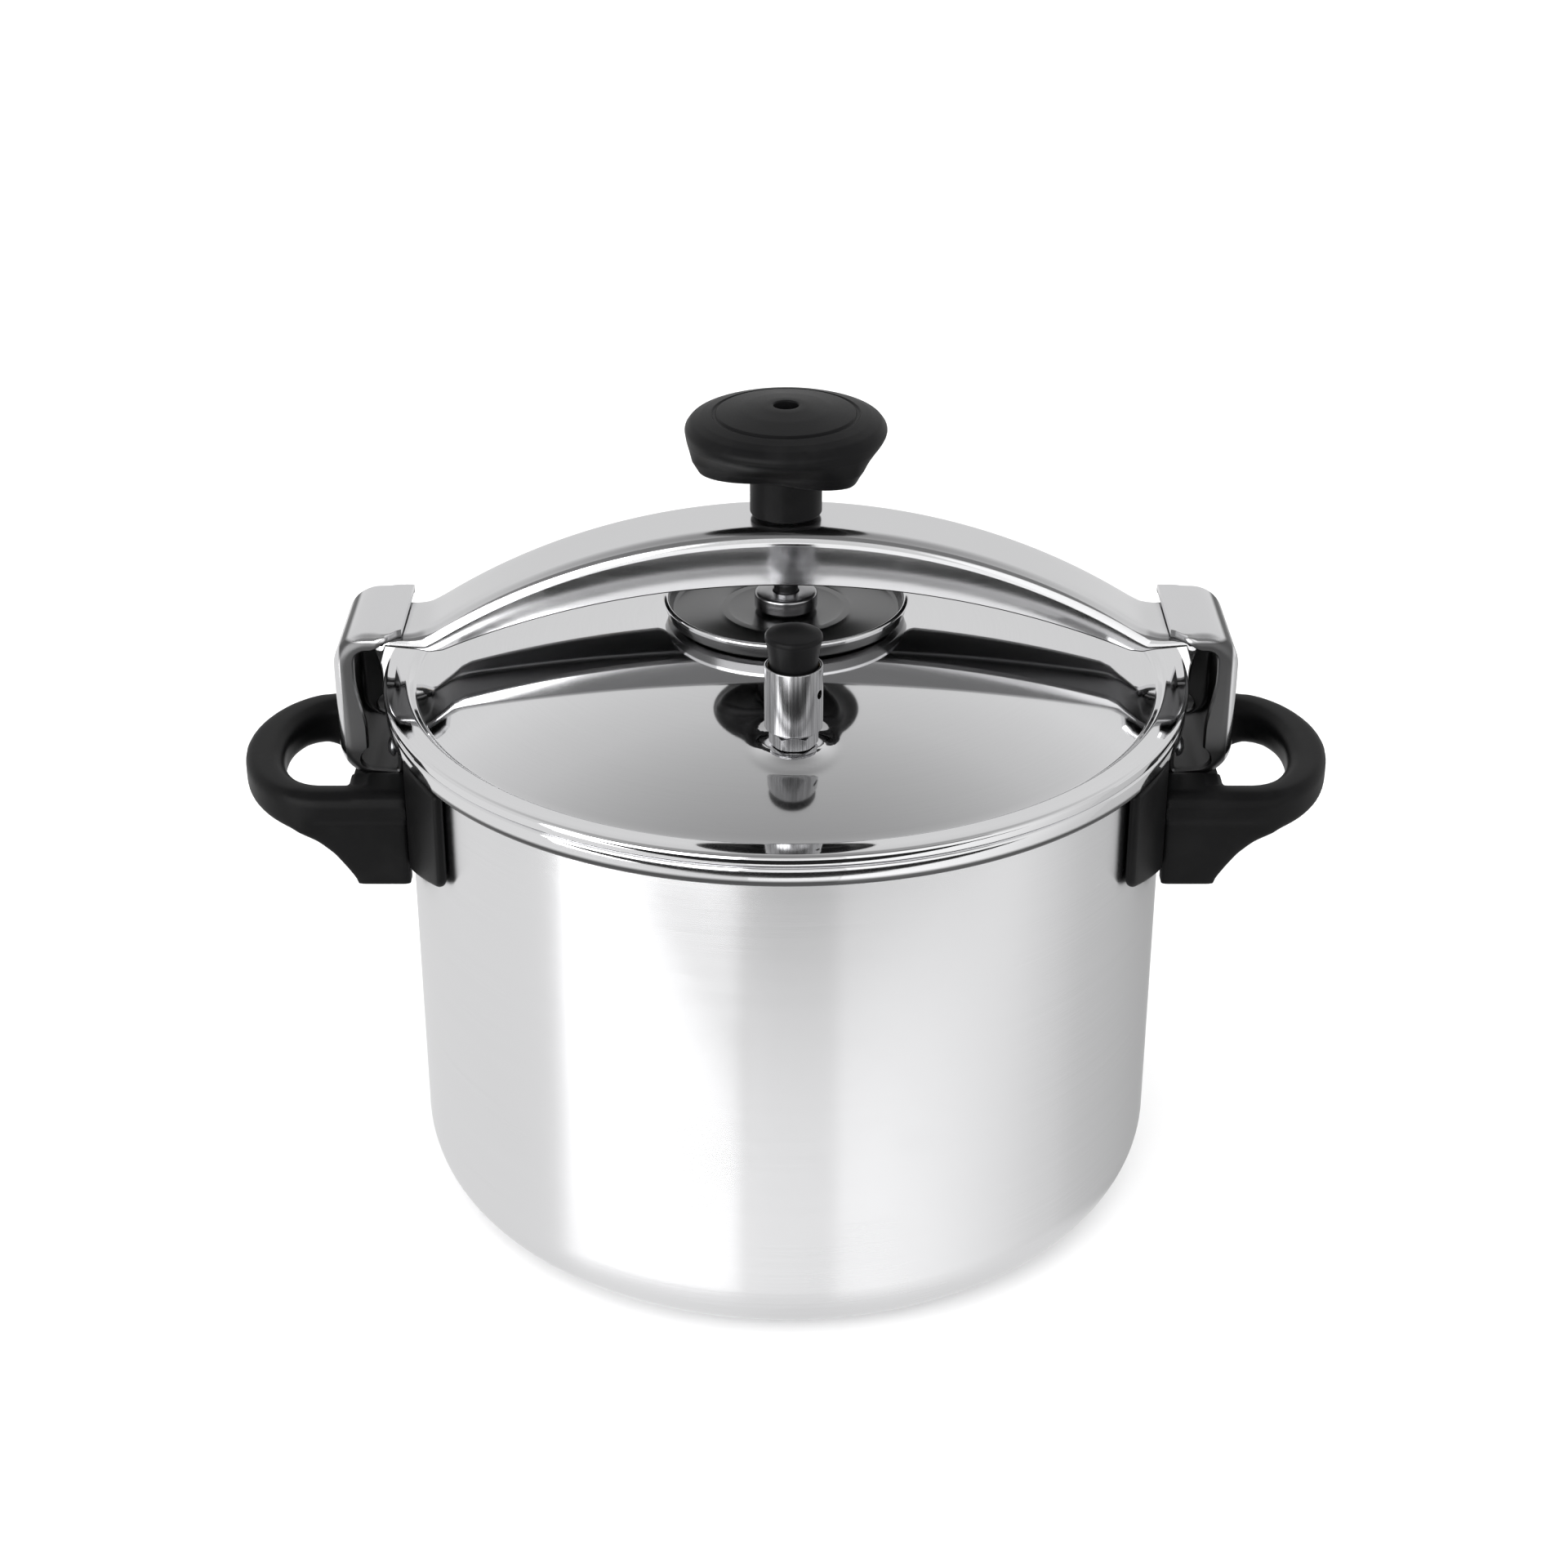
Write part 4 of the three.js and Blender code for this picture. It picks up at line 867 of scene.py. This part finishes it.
def saddle_plate():
    """A flat plate with rounded edges and raised lower ends, laid round the wall of the pot."""
    low, high = span("handle_saddle_right")[0].z, span("handle_saddle_right")[1].z
    wall = POT_RADIUS + 0.3
    reach = wall * math.asin(SADDLE_WIDE / wall)
    half = [(38, low, 9), (reach, low + SADDLE_RISE, SADDLE_CORNER), (reach, high)]
    outline = filleted([(-point[0], *point[1:]) for point in half[::-1]] + half, 12)
    blank = skinned([[(u, v, h) for u, v in outline] for h in (0, SADDLE_THICK)])
    edge = {"width": 1.5 * MM, "segments": 5}
    edge |= {"limit_method": "ANGLE", "angle_limit": math.radians(60)}
    plate = worked(blank, ("BEVEL", edge))
    inner = 36.3 / wall * (wall + 1)

    def brick(u, low_v, high_v, low_h, high_h):
        corners = [(-u, low_v), (u, low_v), (u, high_v), (-u, high_v)]
        return skinned([[(a, b, h) for a, b in corners] for h in (low_h, high_h)])

    pocket = brick(inner, low - 5, high + 5, 1.2, 6)
    notch = brick(20, HOOK_FLOOR - 0.5, high + 5, -2, 6)
    port = upright(BOSS_RADIUS, -3, 8, (0, SCREW_HEIGHT), 40)
    mesh = cut(plate, pocket, notch, port)
    shape = bmesh.new()
    shape.from_mesh(mesh)
    for u in np.arange(-reach + 2, reach, 2.5):
        parts = shape.verts[:] + shape.edges[:] + shape.faces[:]
        bmesh.ops.bisect_plane(shape, geom=parts, plane_co=(u * MM, 0, 0), plane_no=(1, 0, 0))
    for vert in shape.verts:
        angle = vert.co.x / (wall * MM)
        radius = wall * MM + vert.co.z
        vert.co = (radius * math.cos(angle), radius * math.sin(angle), vert.co.y)
    shape.to_mesh(mesh)
    shape.free()
    mesh.name = "saddle_plate_right"
    pair("saddle_plate", tidy(mesh), "handle_saddle")


def handle_screw():
    """A pan-head screw with a cross cut in its head."""
    height, head = SCREW_HEIGHT, HOLE_START - 2.7
    low = POT_RADIUS + 2
    profile = [(0, low), (2.2, low, 0.4), (2.2, head), (4.4, head, 0.3)]
    profile += [(4.4, head + 1.7, 1.2), (0, head + 2.4)]
    points, faces = turned(filleted(profile, 5), 40)
    blank = ([(h, a, height + b) for a, b, h in points], faces)
    slots = []
    for wide, tall in ((2.6, 0.55), (0.55, 2.6)):
        under, over = height - tall, height + tall
        ring = [(-wide, under), (wide, under), (wide, over), (-wide, over)]
        slots.append(skinned([[(x, y, z) for y, z in ring] for x in (head + 0.9, head + 4)]))
    mesh = cut(blank, *slots)
    mesh.name = "handle_fixing_right"
    pair("handle_fixing", mesh, "handle_screw")


# ---- Valves ---------------------------------------------------------------
FOOT_TOP = VALVE_SEAT + 4
SLEEVE_LOW = FOOT_TOP + 0.3
SLEEVE_TOP = SLEEVE_LOW + 19
SLEEVE_OUTER, SLEEVE_BORE, SLEEVE_HOLE = 7.8, 6.9, 3.7
VENT_ANGLE, VENT_HEIGHT, VENT_RADIUS = math.radians(-28), SLEEVE_LOW + 11.8, 1.25


def valve_nozzle():
    """A hexagonal foot with a pipe above, a stem through the lid and a bore."""
    pipe = upright(3.4, FOOT_TOP - 1, FOOT_TOP + 6, VALVE, 48, 0.4)
    stem = upright(STEM_RADIUS, VALVE_SEAT - 12, VALVE_SEAT + 1, VALVE, 48, 0.5)
    foot = hexagon(HEXAGON, VALVE_SEAT + 0.3, FOOT_TOP, VALVE)
    bore = upright(1.2, VALVE_SEAT - 16, FOOT_TOP + 9, VALVE, 24)
    body = cut(foot, pipe, stem, operation="UNION")
    show("valve_body", cut(body, bore), "valve_nozzle")


def valve_barrel():
    """The sleeve round the nozzle, with a vent in its side."""
    outer, floor = SLEEVE_OUTER, SLEEVE_LOW + 2
    profile = [(SLEEVE_HOLE, SLEEVE_LOW, 0.2), (6.5, SLEEVE_LOW, 0.3)]
    profile += [(outer, SLEEVE_LOW + 1.1, 0.5), (outer, SLEEVE_TOP, 0.35)]
    profile += [(SLEEVE_BORE, SLEEVE_TOP, 0.3), (SLEEVE_BORE, floor, 0.4), (SLEEVE_HOLE, floor, 0.2)]
    points, faces = upright(VENT_RADIUS, 4, 12, (0, 0), 32)
    c, s = math.cos(VENT_ANGLE), math.sin(VENT_ANGLE)
    x, y = VALVE
    vent = [(x + h * c - a * s, y + h * s + a * c, VENT_HEIGHT + b) for a, b, h in points]
    barrel = turned(filleted(profile, 4), 96, VALVE)
    show("valve_barrel", cut(barrel, (vent, faces)), "valve_sleeve")


def valve_button():
    low, top = span("valve_cap")[0].z, span("valve_cap")[1].z
    profile = [
        (1.9, low), (6.5, low, 0.2), (6.5, SLEEVE_TOP + 0.8), (6.7, SLEEVE_TOP + 3),
        (7.3, top - 3.6), (7.7, top - 2.2, 0.8), (7.6, top - 0.9, 1.2), (4, top - 0.2),
        (0, top), (0, top - 4.1), (1.9, top - 4.1),
    ]
    make("valve_button", turned(filleted(profile, 5), 72, VALVE), "valve_cap")


def safety_hexagon():
    """A hexagonal head with a stem through the lid and a bore."""
    stem = upright(STEM_RADIUS, SAFETY_SEAT - 11, SAFETY_SEAT + 1, SAFETY, 40, 0.4)
    bore = upright(1.6, SAFETY_SEAT - 14, SAFETY_SEAT + 9, SAFETY, 24)
    head = hexagon(HEXAGON, SAFETY_SEAT + 0.3, SAFETY_SEAT + 3.6, SAFETY)
    body = cut(head, stem, operation="UNION")
    show("safety_hexagon", cut(body, bore), "safety_body")


# ---- Cup, spindle and knob ------------------------------------------------
def cup():
    """The dished cup that presses on the lid, and the nut that holds it on the spindle."""
    low, high = span("pressure_cup")[0].z, span("pressure_cup")[1].z
    floor, hub = low + 1.5, low + 5.2
    profile = [
        (0, low), (32.4, low, 1.2), (33.9, low + 1.2, 0.8), (35.4, high, 0.5),
        (33.9, high, 0.5), (32.4, floor, 1.2), (20, floor), (18.5, floor + 0.35, 0.4),
        (16.5, floor + 0.35, 0.4), (15, floor), (7, floor, 0.6), (7, hub, 0.4),
        (5.4, hub, 0.3), (5.4, floor), (0, floor),
    ]
    make("cup_dish", turned(filleted(profile, 5), 144), "pressure_cup")
    low, high = span("cup_nut")[0].z, span("cup_nut")[1].z
    over = hub + 0.3
    profile = [(7.3, low, 0.2), (9, low, 0.4), (9, high, 0.9), (3.8, high, 0.2), (3.8, over), (7.3, over)]
    make("cup_cover", turned(filleted(profile, 4), 72), "cup_nut")


def threaded_spindle():
    """The spindle with its screw thread between the neck and the knob."""
    low = span("spindle")[0].z
    shoulder, start, end, top = low + 6.9, low + 8.4, NECK_END - 1, span("spindle")[1].z
    profile = [(0, low), (4.8, low), (5, low + 0.3), (5, low + 1.5), (4.8, low + 1.8), (3.5, low + 1.8)]
    profile += [(3.5, shoulder - 0.4), (4.0, shoulder + 0.3)]
    profile += [(THREAD_RADIUS, z) for z in np.arange(start, end, 0.21)]
    step, socket = NECK_END + 1.2, NECK_END + 2
    profile += [(THREAD_RADIUS, step), (TIP_RADIUS, step), (TIP_RADIUS, top)]
    profile += [(2, top), (2, socket), (0, socket)]

    def groove(x, y, z):
        r = math.hypot(x, y)
        if abs(r - THREAD_RADIUS) > 0.01 or not start - 0.01 <= z < end:
            return x, y, z
        turn = math.atan2(y, x) / (2 * math.pi)
        wave = abs((z / THREAD_PITCH - turn) % 1 * 2 - 1)
        shrink = 1 - 0.15 * (1 - ease(wave, 0.12, 0.8)) * ease(end - z, 0, 0.8)
        return x * shrink, y * shrink, z

    make("threaded_spindle", turned(profile, 72, bend=groove), "spindle")


def knob_moulding():
    """The knob, with three flutes below its edge and a lip that hides the insert."""
    skirt, start = KNOB_TOP - 18.8, KNOB_TOP - 7.4
    pocket = NECK_END + 10
    seat = pocket + 6.5
    profile = [
        (2.1, seat), (2.1, pocket), (8.4, pocket), (8.4, NECK_END + 1.4),
        (5.3, NECK_END + 1.2), (5.3, NECK_END - 0.4), (9, NECK_END - 0.5),
        (KNOB_NECK, NECK_END, 0.7), (KNOB_NECK, NECK_END + 6), (KNOB_NECK, skirt + 3.2, 1.2),
        (15, skirt + 2.2, 2), (20, skirt + 1.2, 2), (24.4, skirt, 2.2), (27.1, skirt + 4.6, 3),
        (28.1, KNOB_TOP - 9.6, 3), (KNOB_RADIUS, KNOB_TOP - 6.4, 2.4),
        (26.9, KNOB_TOP - 4.4, 2.4), (24, KNOB_TOP - 3.3, 2), (20.9, KNOB_TOP - 2.5, 0.25),
        (20.5, KNOB_TOP - 2.85, 0.2), (19.8, KNOB_TOP - 2.8, 0.2), (19.4, KNOB_TOP - 2.15, 0.25),
        (12, KNOB_TOP - 0.85), (6, KNOB_TOP - 0.1), (3.5, KNOB_TOP, 0.5), (3.5, seat),
    ]
    line = filleted(profile, 6)
    fine = []
    for i, here in enumerate(line):
        there = line[(i + 1) % len(line)]
        pieces = max(1, round(math.dist(here, there) / 0.8)) if here[0] > KNOB_NECK else 1
        for k in range(pieces):
            back, on = np.multiply(here, 1 - k / pieces), np.multiply(there, k / pieces)
            fine.append(tuple(np.add(back, on)))

    def fluted(x, y, z):
        r = math.hypot(x, y)
        if r < KNOB_NECK + 0.2 or z > start:
            return x, y, z
        depth = ease(start - z, 0, 0.85 * (start - skirt))
        wave = 0.5 - 0.5 * math.cos(3 * (math.atan2(y, x) - LOBES_AT))
        shrink = 1 - 0.40 * depth * ease(r, KNOB_NECK, KNOB_NECK + 5) * wave**0.75
        return x * shrink, y * shrink, z

    make("knob_moulding", turned(fine, 216, bend=fluted), "knob")


pot_wall()
heat_base()
lid_dome()
lid_seal()
bridge_pressing()
bridge_collar()
hook_pressing()
rivet(-14.5, "hook_rivet_front", "rivet_front")
rivet(14.5, "hook_rivet_rear", "rivet_rear")
handle_moulding()
saddle_plate()
handle_screw()
valve_nozzle()
valve_barrel()
valve_button()
safety_hexagon()
cup()
threaded_spindle()
knob_moulding()


# ---- Studio ---------------------------------------------------------------
def plain(name, colour):
    finish = Finish(name, Roughness=0.8)
    mottle = finish.noise(finish.place(), 3.0, 2.0)
    finish.feed("Base Color", finish.tint([c * 0.985 for c in colour], colour, mottle))
    return finish.material


def sheet(name, corners, material):
    """A flat stage sheet, in metres."""
    mesh = bpy.data.meshes.new(name)
    mesh.from_pydata(corners, [], [tuple(range(len(corners)))])
    mesh.materials.append(material)
    stage = bpy.data.objects.new(name, mesh)
    bpy.context.scene.collection.objects.link(stage)
    return stage


def flag(name, corners, near, far=None):
    """A card that only reflections show, which may fade from near to far along X."""
    finish = Finish(name, Roughness=1.0, Specular_IOR_Level=0.0, Emission_Strength=1.0)
    finish.shader.inputs["Base Color"].default_value = (0, 0, 0, 1)
    finish.shader.inputs["Emission Color"].default_value = (near, near, near, 1)
    if far:
        across = finish.axes()[0].step(corners[0][0], corners[1][0])
        finish.feed("Emission Color", finish.tint([near] * 3, [far] * 3, across))
    card = sheet(name, corners, finish.material)
    card.visible_camera = card.visible_diffuse = card.visible_shadow = False
    return card


LIGHT_HEIGHT = 0.1
LIGHT_AIM = Vector((0, 0, LIGHT_HEIGHT))


def softbox(name, azimuth, elevation, distance, wide, tall, power):
    light = bpy.data.lights.new(name, "AREA")
    light.shape = "RECTANGLE"
    light.size, light.size_y, light.energy = wide, tall, power
    lamp = bpy.data.objects.new(name, light)
    a, e = math.radians(azimuth), math.radians(elevation)
    reach = distance * math.cos(e)
    lamp.location = (reach * math.sin(a), -reach * math.cos(a), distance * math.sin(e) + LIGHT_HEIGHT)
    lamp.rotation_euler = (LIGHT_AIM - lamp.location).to_track_quat("-Z", "Y").to_euler()
    lamp.visible_camera = False
    bpy.context.scene.collection.objects.link(lamp)
    return lamp


def studio():
    world = bpy.data.worlds.new("studio_air")
    world.use_nodes = True
    tree = world.node_tree
    height = tree.nodes.new("ShaderNodeSeparateXYZ")
    tree.links.new(tree.nodes.new("ShaderNodeTexCoord").outputs["Generated"], height.inputs[0])
    ramp = tree.nodes.new("ShaderNodeValToRGB")
    ramp.color_ramp.elements[0].color = (0.8, 0.8, 0.8, 1)
    for place, grey in ((0.2, 0.72), (0.55, 0.76), (0.75, 0.6), (1, 0.28)):
        stop = ramp.color_ramp.elements.new(place) if place < 1 else ramp.color_ramp.elements[-1]
        stop.color = (grey, grey, grey, 1)
    tree.links.new(height.outputs["Z"], ramp.inputs[0])
    tree.links.new(ramp.outputs[0], tree.nodes["Background"].inputs["Color"])
    bpy.context.scene.world = world
    corners = [(-6, -6, 0), (6, -6, 0), (6, 6, 0), (-6, 6, 0)]
    floor = sheet("floor", corners, plain("pale_floor", (0.94, 0.94, 0.94)))
    floor.visible_glossy = False
    deep = -0.01
    corners = [(-0.9, -0.75, deep), (0.9, -0.75, deep), (0.75, -0.37, deep), (-0.75, -0.37, deep)]
    flag("floor_card", corners, 0.02)
    corners = [(-2.4, -1.5, 1.3), (2.4, -1.5, 1.3), (2.4, -1.1, 2.7), (-2.4, -1.1, 2.7)]
    flag("front_card", corners, 0.2)
    corners = [(-0.32, -1.72, -1.2), (0.45, -1.72, -1.2), (0.45, -1.72, 0.4), (-0.32, -1.72, 0.4)]
    flag("gap_card", corners, 1.08)
    corners = [(0.46, -1.7, -1.8), (2.3, 0.2, -1.8), (2.3, 0.2, 1.1), (0.46, -1.7, 1.1)]
    flag("right_card", corners, 1.2, 0.66)
    corners = [(2.3, 0.2, -1.8), (0.8, 2.2, -1.8), (0.8, 2.2, -0.1), (2.3, 0.2, -0.1)]
    flag("rear_card", corners, 0.6, 0.42)
    softbox("left_softbox", -38.5, 6, 1.7, 1.72, 1.9, 32)
    right = softbox("right_softbox", 52, 14, 1.7, 2.3, 1.9, 18)
    over = softbox("top_softbox", 0, 89, 2.6, 5.5, 5.5, 130)
    right.visible_glossy = over.visible_glossy = False
    bpy.context.scene.view_settings.view_transform = "Standard"


def camera():
    lens = bpy.data.cameras.new("camera")
    lens.lens, lens.sensor_width = 65.78, 36
    shot = bpy.data.objects.new("camera", lens)
    shot.location = (-0.00056, -0.7560, 0.5110)
    aim = Vector((-0.00056, 0, 0.1225)) - shot.location
    shot.rotation_euler = aim.to_track_quat("-Z", "Y").to_euler()
    bpy.context.scene.collection.objects.link(shot)
    bpy.context.scene.camera = shot


studio()
camera()
